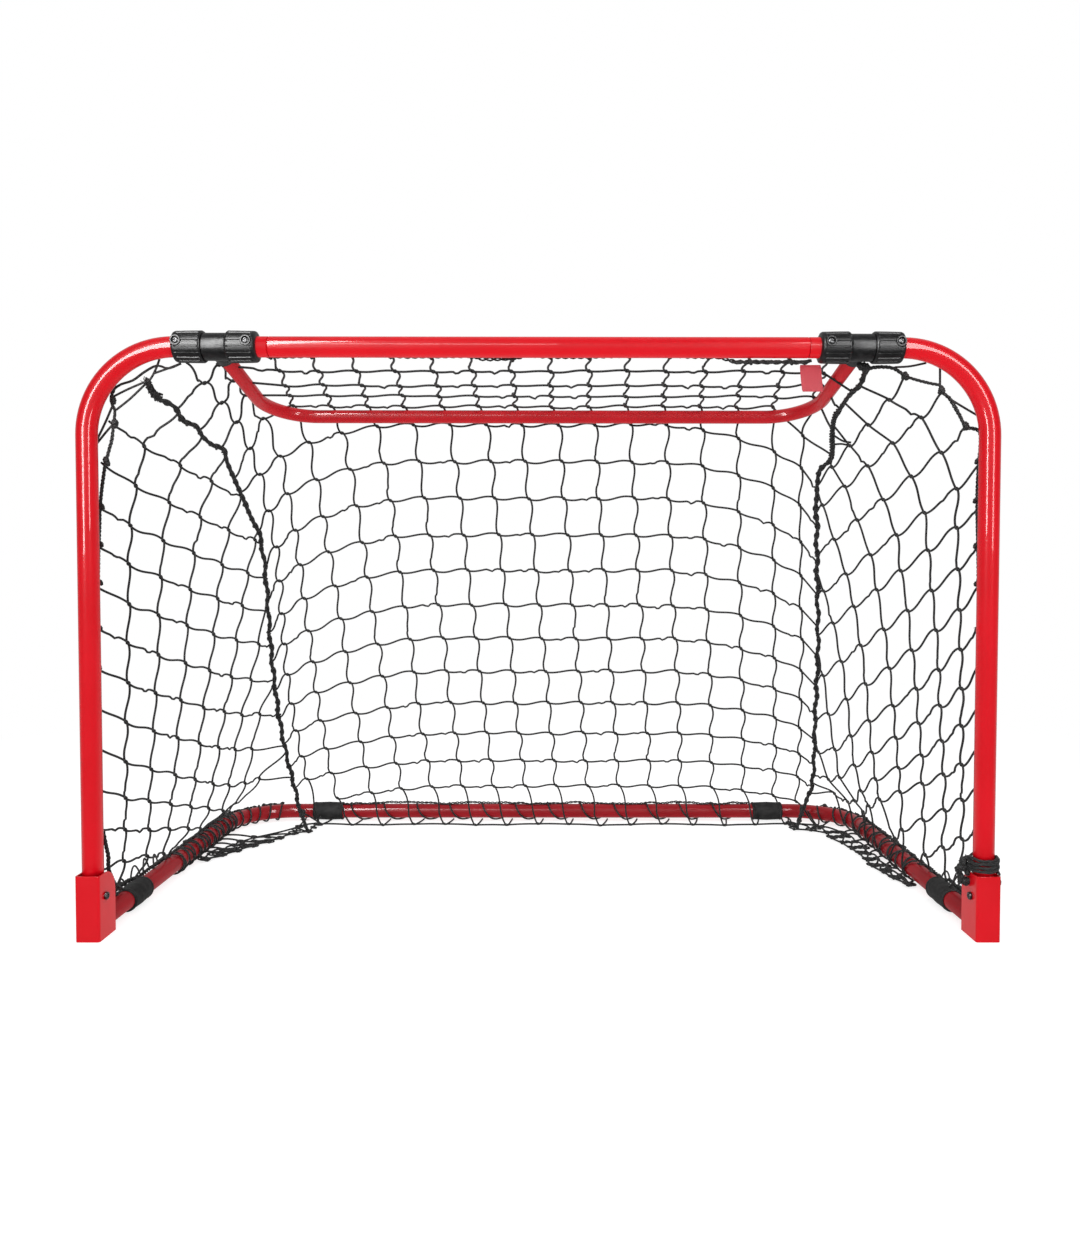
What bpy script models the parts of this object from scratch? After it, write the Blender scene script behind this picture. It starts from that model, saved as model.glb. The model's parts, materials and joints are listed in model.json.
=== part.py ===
"""Small folding street goal: a tube arch, a hinged roof bar, a hinged ground tube and a twine net.

X runs across the goal, Y from the mouth to the back and Z up. The origin is on the floor, in the
middle of the rectangle that the goal covers. Depths below are measured back from the post plane.
"""

import math

import bmesh
import bpy
from mathutils import Matrix, Vector

MM = 0.001
GAP = 0.3 * MM
POST_Y = -223.55 * MM

# Arch of three tubes
TUBE_R = 10 * MM
WALL = 1 * MM
POST_X = 440 * MM
BAR_Z = 580 * MM
ARCH_BEND_R = 86 * MM
JOINT_X = 262 * MM
SPIGOT_R = 8.4 * MM
SPIGOT_LENGTH = 35 * MM
TUBE_SIDES = 14
ROOF_BAR_SIDES = 12
BEND_STEPS = 7

# Foot brackets and the hinge through them
PIVOT_Z = 42 * MM
BRACKET_HALF_WIDTH = 12 * MM
BRACKET_SHEET = 1.5 * MM
BRACKET_FRONT = 13 * MM
BRACKET_REAR = 21 * MM
BRACKET_HEIGHT = 65 * MM
BRACKET_REAR_HEIGHT = 44 * MM
BRACKET_TOP_DEPTH = 9.5 * MM
BRACKET_CORNER_R = 2.5 * MM
NOSE_R = 11.2 * MM
BOLT_R = 2.5 * MM
BOLT_HOLE_R = 2.8 * MM
BOLT_HEAD_R = 3.75 * MM

# Ground tube and its floor sleeves
GROUND_DEPTH = 450 * MM
GROUND_BEND_R = 80 * MM
SLEEVE_R = 13 * MM
SLEEVE_BORE_R = 10.5 * MM
SLEEVE_LENGTH = 43 * MM
GROUND_Z = SLEEVE_R
REAR_SLEEVE_X = {"left": -314 * MM, "right": 328 * MM}
SIDE_SLEEVE_DEPTH = 89.5 * MM

# Roof bar, its barrels and the collars that keep them in place
ARM_X = 312.6 * MM
ARM_R = 7.5 * MM
ARM_LENGTH = 181 * MM
ARM_DROP = math.radians(11.9)
ROOF_BEND_R = 55 * MM
BARREL_R = 13.25 * MM
BARREL_HALF_LENGTH = 11.75 * MM
BORE_R = 10.4 * MM
BOSS_R = 9.6 * MM
BOSS_REACH = 24 * MM
SOCKET_R = 7.9 * MM
SOCKET_FLOOR = 13.6 * MM
COLLAR_R = 15.4 * MM
COLLAR_LENGTH = 28.7 * MM
COLLAR_ROUNDING = 3 * MM
FLUTES = 10
FLUTE_R = 2 * MM
FLUTE_DEPTH = 0.7 * MM

# Screws that pin the collars to the tubes
SCREW_RISE = 3 * MM
SCREW_R = 1.75 * MM
SCREW_HOLE_R = 2.1 * MM
SCREW_HEAD_R = 3.1 * MM
SCREW_SEAT_R = 3.5 * MM
SCREW_BOSS_R = 4.4 * MM
SCREW_BOSS_FRONT = 15.9 * MM
SCREW_SEAT_FRONT = 13.6 * MM
SCREW_TIP_FRONT = 6.4 * MM
OUTER_SCREW_INSET = 23 * MM
INNER_SCREW_INSET = 21 * MM

# Twine, cords and net
TWINE_R = 1.2 * MM
CORD_R = 1.5 * MM
SEAM_R = 2 * MM
KNOT_R = 2.8 * MM
EDGE_OFFSET = 6 * MM
PANEL_COLUMNS = 16
ROOF_ROWS = 4
PANEL_ROWS = 14
OUTER_COLUMNS = {"left": 2, "right": 1}
SIDE_COLUMNS = 5
SIDE_ROWS = 9
WRAP_POINTS = 8
CORD_SIDES = 6
EDGE_CORD_FOOT = {"left": 73 * MM, "right": 90 * MM}

FINISHES = {
    "red_paint": ((0.72, 0.012, 0.028), 0.22, 0.0),
    "black_plastic": ((0.012, 0.012, 0.013), 0.42, 0.0),
    "black_rubber": ((0.014, 0.014, 0.014), 0.75, 0.0),
    "dark_steel": ((0.10, 0.10, 0.105), 0.38, 1.0),
    "black_twine": ((0.009, 0.009, 0.010), 0.85, 0.0),
    "red_strap": ((0.78, 0.02, 0.05), 0.6, 0.0),
}

SIDES = {"left": -1, "right": 1}


def at(x, depth, z):
    """A point given by its depth behind the post plane."""
    return Vector((x, POST_Y + depth, z))


def on_roof(x, along, above=0.0):
    """A point in the roof bar's sloping plane, measured from the crossbar's axis."""
    depth = along * math.cos(ARM_DROP) + above * math.sin(ARM_DROP)
    height = above * math.cos(ARM_DROP) - along * math.sin(ARM_DROP)
    return at(x, depth, BAR_Z + height)


# Scene helpers


def new_collection(name):
    collection = bpy.data.collections.new(name)
    bpy.context.scene.collection.children.link(collection)
    return collection


def clear_scene():
    for item in list(bpy.data.objects):
        bpy.data.objects.remove(item, do_unlink=True)


def own_material(name, finish):
    colour, roughness, metallic = FINISHES[finish]
    material = bpy.data.materials.new(f"{name}_{finish}")
    material.use_nodes = True
    shader = material.node_tree.nodes["Principled BSDF"]
    shader.inputs["Base Color"].default_value = (*colour, 1)
    shader.inputs["Roughness"].default_value = roughness
    shader.inputs["Metallic"].default_value = metallic
    return material


def add_part(name, mesh, finish, body, place=None):
    """Add one sub-part, carried by the empty of the body that it belongs to."""
    part = bpy.data.objects.new(name, mesh)
    mesh.materials.append(own_material(name, finish))
    part.matrix_world = place or Matrix()
    part.parent = body
    part.matrix_parent_inverse = Matrix.Translation(-body.location)
    PARTS.objects.link(part)
    return part


def add_guide(name, mesh, place=None):
    """Add a shape that only cuts or joins other shapes."""
    guide = bpy.data.objects.new(name, mesh)
    guide.matrix_world = place or Matrix()
    guide.hide_render = True
    guide.display_type = "WIRE"
    GUIDES.objects.link(guide)
    return guide


def add_body(name, location):
    body = bpy.data.objects.new(name, None)
    body.empty_display_size = 20 * MM
    body.location = location
    PARTS.objects.link(body)
    return body


def add_boolean(part, operation, guide):
    modifier = part.modifiers.new(f"{operation.lower()}_{guide.name}", "BOOLEAN")
    modifier.operation = operation
    modifier.solver = "EXACT"
    modifier.object = guide


def shade(part):
    part.data.shade_smooth()
    part.data.set_sharp_from_angle(angle=math.radians(35))


# Shape helpers


def axis_along(direction, centre):
    """A placement whose local Z runs along the direction."""
    turn = Vector((0, 0, 1)).rotation_difference(Vector(direction)).to_matrix().to_4x4()
    return Matrix.Translation(centre) @ turn


def swept_mesh(points, radius, sides, scales=None, caps=True):
    """A round section swept along points, with a scale for each point where it swells."""
    curve = bpy.data.curves.new("sweep", "CURVE")
    curve.dimensions = "3D"
    curve.bevel_depth = radius
    curve.bevel_resolution = (sides - 4) // 2
    curve.use_fill_caps = caps
    spline = curve.splines.new("POLY")
    spline.points.add(len(points) - 1)
    for index, point in enumerate(points):
        spline.points[index].co = (*point, 1)
        spline.points[index].radius = scales[index] if scales else 1
    sweep = bpy.data.objects.new("sweep", curve)
    bpy.context.scene.collection.objects.link(sweep)
    graph = bpy.context.evaluated_depsgraph_get()
    mesh = bpy.data.meshes.new_from_object(sweep.evaluated_get(graph))
    bpy.data.objects.remove(sweep)
    bpy.data.curves.remove(curve)
    shape = bmesh.new()
    shape.from_mesh(mesh)
    bmesh.ops.remove_doubles(shape, verts=shape.verts, dist=0.001 * MM)
    shape.to_mesh(mesh)
    shape.free()
    return mesh


def rounded_path(corners, radius, steps):
    """A path through corners, with an arc of the radius at each inner one."""
    points = [corners[0]]
    for before, corner, after in zip(corners, corners[1:], corners[2:]):
        back = (before - corner).normalized()
        ahead = (after - corner).normalized()
        half = back.angle(ahead) / 2
        centre = corner + (back + ahead).normalized() * radius / math.sin(half)
        spoke = corner + back * radius / math.tan(half) - centre
        turn_axis = back.cross(ahead)
        for step in range(steps + 1):
            turn = Matrix.Rotation(-(math.pi - 2 * half) * step / steps, 3, turn_axis)
            points.append(centre + turn @ spoke)
    points.append(corners[-1])
    return points


def add_tube(name, path, radius, sides, body):
    """An open-ended tube of red painted steel."""
    tube = add_part(name, swept_mesh(path, radius, sides, caps=False), "red_paint", body)
    shell = tube.modifiers.new("wall", "SOLIDIFY")
    shell.thickness = WALL
    shell.offset = -1
    shell.use_even_offset = True
    return tube


def profile_mesh(profile, closed):
    edges = [(index, index + 1) for index in range(len(profile) - 1)]
    if closed:
        edges.append((len(profile) - 1, 0))
    mesh = bpy.data.meshes.new("profile")
    mesh.from_pydata([(radius, 0, height) for radius, height in profile], edges, [])
    return mesh


def turn_profile(part, steps):
    """Revolve the profile about local Z."""
    screw = part.modifiers.new("turned", "SCREW")
    screw.steps = steps
    screw.render_steps = steps
    screw.use_merge_vertices = True
    screw.merge_threshold = 0.01 * MM


def arc(centre_radius, centre_height, radius, start, end, steps):
    """Profile points on an arc, with angles in degrees from the outward direction."""
    points = []
    for step in range(steps + 1):
        angle = math.radians(start + (end - start) * step / steps)
        place = (centre_radius + radius * math.cos(angle), centre_height + radius * math.sin(angle))
        points.append(place)
    return points


def rods_mesh(rods, sides):
    """Closed rods, each given by its two ends and its radius."""
    shape = bmesh.new()
    for start, end, radius in rods:
        place = axis_along((end - start).normalized(), (start + end) / 2)
        bmesh.ops.create_cone(
            shape,
            cap_ends=True,
            segments=sides,
            radius1=radius,
            radius2=radius,
            depth=(end - start).length,
            matrix=place,
        )
    mesh = bpy.data.meshes.new("rods")
    shape.to_mesh(mesh)
    shape.free()
    return mesh


def prism_mesh(outline, x_start, x_end):
    """A flat outline of depths and heights, drawn out along X."""
    shape = bmesh.new()
    corners = [shape.verts.new(at(x_start, depth, height)) for depth, height in outline]
    face = shape.faces.new(corners)
    drawn = bmesh.ops.extrude_face_region(shape, geom=[face])["geom"]
    moved = [item for item in drawn if isinstance(item, bmesh.types.BMVert)]
    bmesh.ops.translate(shape, verts=moved, vec=(x_end - x_start, 0, 0))
    bmesh.ops.recalc_face_normals(shape, faces=shape.faces)
    mesh = bpy.data.meshes.new("prism")
    shape.to_mesh(mesh)
    shape.free()
    return mesh


class Route:
    """A smooth curve through a few points, read by its share of the whole length."""

    def __init__(self, points, steps=12):
        ends = [2 * points[0] - points[1], *points, 2 * points[-1] - points[-2]]
        self.places = [points[0]]
        for a, b, c, d in zip(ends, ends[1:], ends[2:], ends[3:]):
            for step in range(1, steps + 1):
                t = step / steps
                bend = (2 * a - 5 * b + 4 * c - d) * t * t + (3 * b - a - 3 * c + d) * t**3
                self.places.append((2 * b + (c - a) * t + bend) / 2)
        self.lengths = [0.0]
        for before, after in zip(self.places, self.places[1:]):
            self.lengths.append(self.lengths[-1] + (after - before).length)

    def point(self, share):
        wanted = share * self.lengths[-1]
        for index in range(1, len(self.lengths)):
            if wanted <= self.lengths[index] or index == len(self.lengths) - 1:
                span = self.lengths[index] - self.lengths[index - 1]
                part = (wanted - self.lengths[index - 1]) / span
                return self.places[index - 1].lerp(self.places[index], min(part, 1))

    def points(self, count):
        return [self.point(index / (count - 1)) for index in range(count)]


# Rigid pieces


def make_corner_tube(name, side, body):
    """One post with its bend and its short run to the joint with the crossbar."""
    corners = [
        at(side * POST_X, 0, PIVOT_Z - NOSE_R - MM),
        at(side * POST_X, 0, BAR_Z),
        at(side * (JOINT_X + GAP / 2), 0, BAR_Z),
    ]
    path = rounded_path(corners, ARCH_BEND_R, BEND_STEPS)
    tube = add_tube(f"{name}_corner_tube", path, TUBE_R, TUBE_SIDES, body)
    reach = TUBE_R + 2 * MM
    nose = [(-reach - NOSE_R, PIVOT_Z)]
    for step in range(13):
        angle = math.pi * (1 + step / 12)
        nose.append((NOSE_R * math.cos(angle), PIVOT_Z + NOSE_R * math.sin(angle)))
    nose.append((reach + NOSE_R, PIVOT_Z))
    nose.append((reach + NOSE_R, PIVOT_Z - 2 * NOSE_R))
    nose.append((-reach - NOSE_R, PIVOT_Z - 2 * NOSE_R))
    ends = sorted((side * POST_X - reach, side * POST_X + reach))
    add_boolean(tube, "DIFFERENCE", add_guide(f"{name}_nose_cut", prism_mesh(nose, *ends)))
    add_boolean(tube, "DIFFERENCE", add_guide(f"{name}_tube_holes", hole_rods(name, side)))
    shade(tube)


def screw_stations(side):
    """X of the screws in the outer and the inner collar on one side."""
    outer = side * (ARM_X + BARREL_HALF_LENGTH + OUTER_SCREW_INSET)
    inner = side * (ARM_X - BARREL_HALF_LENGTH - INNER_SCREW_INSET)
    return outer, inner


def hole_rods(name, side):
    """The hinge hole through a post and the two screw holes in its front wall."""
    reach = TUBE_R + 2 * MM
    hinge = (at(side * POST_X - reach, 0, PIVOT_Z), at(side * POST_X + reach, 0, PIVOT_Z))
    rods = [(*hinge, BOLT_HOLE_R)]
    for x in screw_stations(side):
        ends = (at(x, -reach, BAR_Z + SCREW_RISE), at(x, -TUBE_R / 2, BAR_Z + SCREW_RISE))
        rods.append((*ends, SCREW_HOLE_R))
    return rods_mesh(rods, 12)


def make_crossbar_tube(body):
    """The middle tube, swaged at both ends to slide into the corner tubes."""
    shoulder = JOINT_X - GAP / 2
    end = JOINT_X + SPIGOT_LENGTH
    outer = [
        (SPIGOT_R, end),
        (SPIGOT_R, shoulder),
        (TUBE_R - 0.6 * MM, shoulder),
        (TUBE_R, shoulder - 0.8 * MM),
    ]
    inner = [
        (TUBE_R - WALL, shoulder - 6 * MM),
        (SPIGOT_R - WALL, shoulder - 3 * MM),
        (SPIGOT_R - WALL, end),
    ]
    outer += [(radius, -height) for radius, height in reversed(outer)]
    inner = [(radius, -height) for radius, height in reversed(inner)] + inner
    place = axis_along((1, 0, 0), at(0, 0, BAR_Z))
    tube = add_part("crossbar_tube", profile_mesh(outer + inner, True), "red_paint", body, place)
    turn_profile(tube, TUBE_SIDES)
    rods = []
    for side in SIDES.values():
        x = screw_stations(side)[1]
        ends = (at(x, -TUBE_R - MM, BAR_Z + SCREW_RISE), at(x, -TUBE_R / 2, BAR_Z + SCREW_RISE))
        rods.append((*ends, SCREW_HOLE_R))
    add_boolean(tube, "DIFFERENCE", add_guide("spigot_holes", rods_mesh(rods, 12)))
    shade(tube)


def make_collar(name, start_x, outward, screw_x, body):
    """A fluted collar that is rounded at the end away from the barrel."""
    round_r = COLLAR_ROUNDING
    profile = arc(COLLAR_R - round_r, COLLAR_LENGTH - round_r, round_r, 90, 0, 2)
    profile += [(COLLAR_R, 0.6 * MM), (COLLAR_R - 0.6 * MM, 0)]
    profile += [(BORE_R, 0), (BORE_R, COLLAR_LENGTH)]
    place = axis_along((outward, 0, 0), at(start_x, 0, BAR_Z))
    collar = add_part(name, profile_mesh(profile, True), "black_plastic", body, place)
    turn_profile(collar, 2 * FLUTES)
    flute_circle = COLLAR_R + FLUTE_R - FLUTE_DEPTH
    rods = []
    for flute in range(FLUTES):
        angle = 2 * math.pi * (flute + 0.5) / FLUTES
        depth = flute_circle * math.cos(angle)
        height = BAR_Z + flute_circle * math.sin(angle)
        end_x = start_x + outward * (COLLAR_LENGTH + MM)
        rods.append((at(start_x - outward * MM, depth, height), at(end_x, depth, height), FLUTE_R))
    add_boolean(collar, "DIFFERENCE", add_guide(f"{name}_flutes", rods_mesh(rods, 6)))
    height = BAR_Z + SCREW_RISE
    front = at(screw_x, -SCREW_BOSS_FRONT, height)
    boss = [(front, at(screw_x, -BORE_R - MM, height), SCREW_BOSS_R)]
    add_boolean(collar, "UNION", add_guide(f"{name}_boss", rods_mesh(boss, 16)))
    seat = at(screw_x, -SCREW_SEAT_FRONT, height)
    tip = at(screw_x, -SCREW_TIP_FRONT, height)
    over = front - Vector((0, MM, 0))
    add_boolean(collar, "DIFFERENCE", add_guide(f"{name}_seat", rods_mesh([(over, seat, SCREW_SEAT_R)], 16)))
    add_boolean(collar, "DIFFERENCE", add_guide(f"{name}_hole", rods_mesh([(over, tip, SCREW_HOLE_R)], 12)))
    shade(collar)


def make_collars(body):
    for name, side in SIDES.items():
        outer_screw, inner_screw = screw_stations(side)
        outer_start = side * (ARM_X + BARREL_HALF_LENGTH)
        inner_start = side * (ARM_X - BARREL_HALF_LENGTH)
        make_collar(f"{name}_outer_collar", outer_start, side, outer_screw, body)
        make_collar(f"{name}_inner_collar", inner_start, -side, inner_screw, body)


def make_collar_screw(name, x, body):
    """A round-headed screw through a collar and the tubes inside it."""
    head = SCREW_BOSS_FRONT - 0.4 * MM
    under = SCREW_SEAT_FRONT + GAP
    profile = [
        (0, head - 0.9 * MM),
        (1.7 * MM, head),
        (SCREW_HEAD_R, head - 0.7 * MM),
        (SCREW_HEAD_R, under),
        (SCREW_R, under),
        (SCREW_R, SCREW_TIP_FRONT + 1.5 * MM),
        (0, SCREW_TIP_FRONT),
    ]
    place = axis_along((0, -1, 0), at(x, 0, BAR_Z + SCREW_RISE))
    screw = add_part(name, profile_mesh(profile, False), "dark_steel", body, place)
    turn_profile(screw, 10)
    shade(screw)


def make_barrel(name, side, body):
    """A barrel that turns on the crossbar, with a socket for the end of the roof bar."""
    half = BARREL_HALF_LENGTH - GAP
    edge = 0.8 * MM
    profile = [
        (0, half),
        (BARREL_R - edge, half),
        (BARREL_R, half - edge),
        (BARREL_R, edge - half),
        (BARREL_R - edge, -half),
        (0, -half),
    ]
    x = side * ARM_X
    place = axis_along((1, 0, 0), at(x, 0, BAR_Z))
    barrel = add_part(f"{name}_pivot_barrel", profile_mesh(profile, False), "black_plastic", body, place)
    turn_profile(barrel, 20)
    boss = [(on_roof(x, SOCKET_R), on_roof(x, BOSS_REACH), BOSS_R)]
    add_boolean(barrel, "UNION", add_guide(f"{name}_barrel_boss", rods_mesh(boss, 16)))
    bore = (at(x - 2 * half, 0, BAR_Z), at(x + 2 * half, 0, BAR_Z), BORE_R)
    add_boolean(barrel, "DIFFERENCE", add_guide(f"{name}_barrel_bore", rods_mesh([bore], 20)))
    socket = (on_roof(x, SOCKET_FLOOR), on_roof(x, BOSS_REACH + MM), SOCKET_R)
    add_boolean(barrel, "DIFFERENCE", add_guide(f"{name}_barrel_socket", rods_mesh([socket], 16)))
    shade(barrel)


def make_roof_bar(body):
    start = SOCKET_FLOOR + GAP
    corners = [
        on_roof(-ARM_X, start),
        on_roof(-ARM_X, ARM_LENGTH),
        on_roof(ARM_X, ARM_LENGTH),
        on_roof(ARM_X, start),
    ]
    path = rounded_path(corners, ROOF_BEND_R, BEND_STEPS)
    shade(add_tube("roof_bar", path, ARM_R, ROOF_BAR_SIDES, body))


def make_ground_tube(body):
    start = 2 * GAP - BRACKET_FRONT + BRACKET_SHEET
    corners = [
        at(-POST_X, start, GROUND_Z),
        at(-POST_X, GROUND_DEPTH, GROUND_Z),
        at(POST_X, GROUND_DEPTH, GROUND_Z),
        at(POST_X, start, GROUND_Z),
    ]
    path = rounded_path(corners, GROUND_BEND_R, BEND_STEPS)
    shade(add_tube("ground_tube", path, TUBE_R, TUBE_SIDES, body))


def make_bracket(name, side, body):
    """A sheet folded to a channel, with its top rear corner cut away."""
    half = BRACKET_HALF_WIDTH
    bend = BRACKET_CORNER_R
    plan = [(-half, BRACKET_REAR)]
    for centre_x, first in ((bend - half, 180), (half - bend, 270)):
        for step in range(4):
            angle = math.radians(first + 30 * step)
            plan.append((centre_x + bend * math.cos(angle), bend * math.sin(angle) + bend - BRACKET_FRONT))
    plan.append((half, BRACKET_REAR))
    shape = bmesh.new()
    low = [shape.verts.new(at(side * POST_X + x, depth, 0)) for x, depth in plan]
    edges = [shape.edges.new(pair) for pair in zip(low, low[1:])]
    drawn = bmesh.ops.extrude_edge_only(shape, edges=edges)["geom"]
    raised = [item for item in drawn if isinstance(item, bmesh.types.BMVert)]
    bmesh.ops.translate(shape, verts=raised, vec=(0, 0, BRACKET_HEIGHT))
    mesh = bpy.data.meshes.new("bracket")
    shape.to_mesh(mesh)
    shape.free()
    bracket = add_part(f"{name}_bracket", mesh, "red_paint", body)
    sheet = bracket.modifiers.new("sheet", "SOLIDIFY")
    sheet.thickness = BRACKET_SHEET
    sheet.offset = 1
    sheet.use_even_offset = True
    slope = (BRACKET_REAR - BRACKET_TOP_DEPTH) / (BRACKET_HEIGHT - BRACKET_REAR_HEIGHT)
    over = 2 * MM
    corner = [
        (BRACKET_REAR + over * slope, BRACKET_REAR_HEIGHT - over),
        (BRACKET_REAR + over * slope, BRACKET_HEIGHT + over),
        (BRACKET_TOP_DEPTH - over * slope, BRACKET_HEIGHT + over),
    ]
    reach = half + over
    ends = (side * POST_X - reach, side * POST_X + reach)
    add_boolean(bracket, "DIFFERENCE", add_guide(f"{name}_bracket_corner", prism_mesh(corner, *ends)))
    hole = (at(ends[0], 0, PIVOT_Z), at(ends[1], 0, PIVOT_Z), BOLT_HOLE_R)
    add_boolean(bracket, "DIFFERENCE", add_guide(f"{name}_bracket_hole", rods_mesh([hole], 16)))
    shade(bracket)


def make_hinge_bolt(name, side, body):
    """A pin through bracket and post, with its head inside the goal and a low tail outside."""
    face = BRACKET_HALF_WIDTH + GAP
    profile = [
        (0, face + 1.2 * MM),
        (2.2 * MM, face + MM),
        (3.3 * MM, face + 0.2 * MM),
        (3.3 * MM, face),
        (BOLT_R, face),
        (BOLT_R, -face),
        (BOLT_HEAD_R, -face),
        (BOLT_HEAD_R, -face - 1.7 * MM),
        (BOLT_HEAD_R - 0.9 * MM, -face - 2.5 * MM),
        (0, -face - 2.5 * MM),
    ]
    place = axis_along((side, 0, 0), at(side * POST_X, 0, PIVOT_Z))
    bolt = add_part(f"{name}_hinge_bolt", profile_mesh(profile, False), "dark_steel", body, place)
    turn_profile(bolt, 12)
    shade(bolt)


def make_sleeve(name, centre, direction, body):
    """A rubber sleeve on the ground tube, which keeps the paint off the floor."""
    half = SLEEVE_LENGTH / 2
    edge = 0.8 * MM
    profile = [
        (SLEEVE_R - edge, half),
        (SLEEVE_R, half - edge),
        (SLEEVE_R, edge - half),
        (SLEEVE_R - edge, -half),
        (SLEEVE_BORE_R, -half),
        (SLEEVE_BORE_R, half),
    ]
    place = axis_along(direction, centre)
    sleeve = add_part(name, profile_mesh(profile, True), "black_rubber", body, place)
    turn_profile(sleeve, 16)
    shade(sleeve)


def make_strap_tab(body):
    """A blank red tab that hangs from the lacing behind the crossbar."""
    half_width = 10.5 * MM
    height = 26 * MM
    corner = 2 * MM
    curve = bpy.data.curves.new("tab", "CURVE")
    curve.dimensions = "2D"
    curve.fill_mode = "BOTH"
    curve.extrude = 0.5 * MM
    spline = curve.splines.new("POLY")
    outline = [
        (-half_width, corner),
        (corner - half_width, 0),
        (half_width - corner, 0),
        (half_width, corner),
        (half_width, height),
        (-half_width, height),
    ]
    spline.points.add(len(outline) - 1)
    for index, (x, y) in enumerate(outline):
        spline.points[index].co = (x, y, 0, 1)
    spline.use_cyclic_u = True
    flat = bpy.data.objects.new("tab", curve)
    bpy.context.scene.collection.objects.link(flat)
    graph = bpy.context.evaluated_depsgraph_get()
    mesh = bpy.data.meshes.new_from_object(flat.evaluated_get(graph))
    bpy.data.objects.remove(flat)
    bpy.data.curves.remove(curve)
    shape = bmesh.new()
    shape.from_mesh(mesh)
    bmesh.ops.remove_doubles(shape, verts=shape.verts, dist=0.001 * MM)
    shape.to_mesh(mesh)
    shape.free()
    upright = Matrix.Rotation(math.radians(90), 4, "X")
    lean = Matrix.Rotation(math.radians(-6), 4, "Y")
    place = Matrix.Translation(at(266 * MM, 12 * MM, 540 * MM)) @ lean @ upright
    add_part("strap_tab", mesh, "red_strap", body, place)


# Cords


def seam_route(name):
    """The sewn line where the big panel meets a side panel, from the arch to the rear bend."""
    if name == "left":
        corners = [
            (-394, 19, 553), (-376, 62, 520), (-366, 112, 503), (-361, 165, 479), (-352, 215, 433),
            (-349, 258, 386), (-357, 318, 247), (-358, 356, 156), (-354, 395, 76), (-354, 432, 29),
        ]
    else:
        corners = [
            (326, 30, 560), (327, 98, 541), (332, 160, 514), (334, 222, 463), (345, 258, 380),
            (361, 306, 265), (369, 345, 165), (378, 382, 85), (385, 432, 32),
        ]
    points = [at(x * MM, depth * MM, z * MM) for x, depth, z in corners]
    return Route(points)


def make_seam_cord(name, body):
    route = SEAMS[name]
    count = 2 * PANEL_ROWS + 1
    points = route.points(count)
    scales = [KNOT_R / SEAM_R if index % 2 == 0 else 0.85 for index in range(count)]
    mesh = swept_mesh(points, SEAM_R, CORD_SIDES, scales)
    add_part(f"{name}_seam_cord", mesh, "black_twine", body)


def make_edge_cord(name, side, body):
    """The cord behind a post, which goes on round the corner to the back of the collar."""
    depth = TUBE_R + CORD_R + 2 * GAP
    route = Route([
        at(side * POST_X, depth, EDGE_CORD_FOOT[name]),
        at(side * POST_X, depth, 240 * MM),
        at(side * (POST_X - 2 * MM), depth, 420 * MM),
        at(side * (POST_X - 12 * MM), depth, 500 * MM),
        at(side * (POST_X - 42 * MM), depth, 542 * MM),
        at(side * (POST_X - 76 * MM), depth + 2 * MM, 560 * MM),
        at(side * (POST_X - 104 * MM), depth + 6 * MM, 565 * MM),
    ])
    count = 21
    scales = [1.3 if index % 4 == 0 else 1 for index in range(count)]
    mesh = swept_mesh(route.points(count), CORD_R, CORD_SIDES, scales)
    add_part(f"{name}_edge_cord", mesh, "black_twine", body)


def make_crossbar_lacing(body):
    """The cord that holds the roof net along the underside of the crossbar."""
    reach = TUBE_R + CORD_R + GAP
    angle = math.radians(62)
    end_x = ARM_X - BARREL_HALF_LENGTH - COLLAR_LENGTH - 3 * MM
    count = 13
    points = []
    for index in range(count):
        x = end_x * (2 * index / (count - 1) - 1)
        points.append(at(x, reach * math.cos(angle), BAR_Z - reach * math.sin(angle)))
    scales = [1 if index % 2 == 0 else 0.8 for index in range(count)]
    add_part("crossbar_lacing", swept_mesh(points, CORD_R, CORD_SIDES, scales), "black_twine", body)


def wind(frame_at, pitches):
    """A cord wound round a tube: one turn for each pitch, flat where it faces the floor."""
    radius = (TUBE_R + GAP + TWINE_R) / math.cos(math.pi / WRAP_POINTS)
    angle = math.pi / WRAP_POINTS
    distance = 0.0
    points = []
    for pitch in pitches:
        for _ in range(WRAP_POINTS):
            centre, outward, upward = frame_at(distance)
            points.append(centre + radius * (math.cos(angle) * outward + math.sin(angle) * upward))
            angle += 2 * math.pi / WRAP_POINTS
            distance += pitch / WRAP_POINTS
    return points


def least_gap(points):
    """The smallest clear distance between turns, measured on the points of the cord."""
    closest = math.inf
    for index, point in enumerate(points):
        for other in points[index + WRAP_POINTS - 2:]:
            closest = min(closest, (other - point).length)
    return closest - 2 * TWINE_R


def add_winding(name, frame_at, pitches, body):
    points = wind(frame_at, pitches)
    print(f"{name}: {len(pitches)} turns, least gap {least_gap(points) / MM:.2f} mm")
    add_part(name, swept_mesh(points, TWINE_R, CORD_SIDES), "black_twine", body)


def ground_frame_at(side, distance):
    """Centre, outward and upward directions on the ground tube, by distance from the posts."""
    straight = GROUND_DEPTH - GROUND_BEND_R
    bend = math.pi / 2 * GROUND_BEND_R
    centre_x = POST_X - GROUND_BEND_R
    upward = Vector((0, 0, 1))
    if distance < straight:
        return at(side * POST_X, distance, GROUND_Z), Vector((side, 0, 0)), upward
    if distance < straight + bend:
        angle = (distance - straight) / GROUND_BEND_R
        outward = Vector((side * math.cos(angle), math.sin(angle), 0))
        centre = at(side * centre_x, straight, GROUND_Z) + GROUND_BEND_R * outward
        return centre, outward, upward
    x = side * (centre_x - (distance - straight - bend))
    return at(x, GROUND_DEPTH, GROUND_Z), Vector((0, 1, 0)), upward


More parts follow.
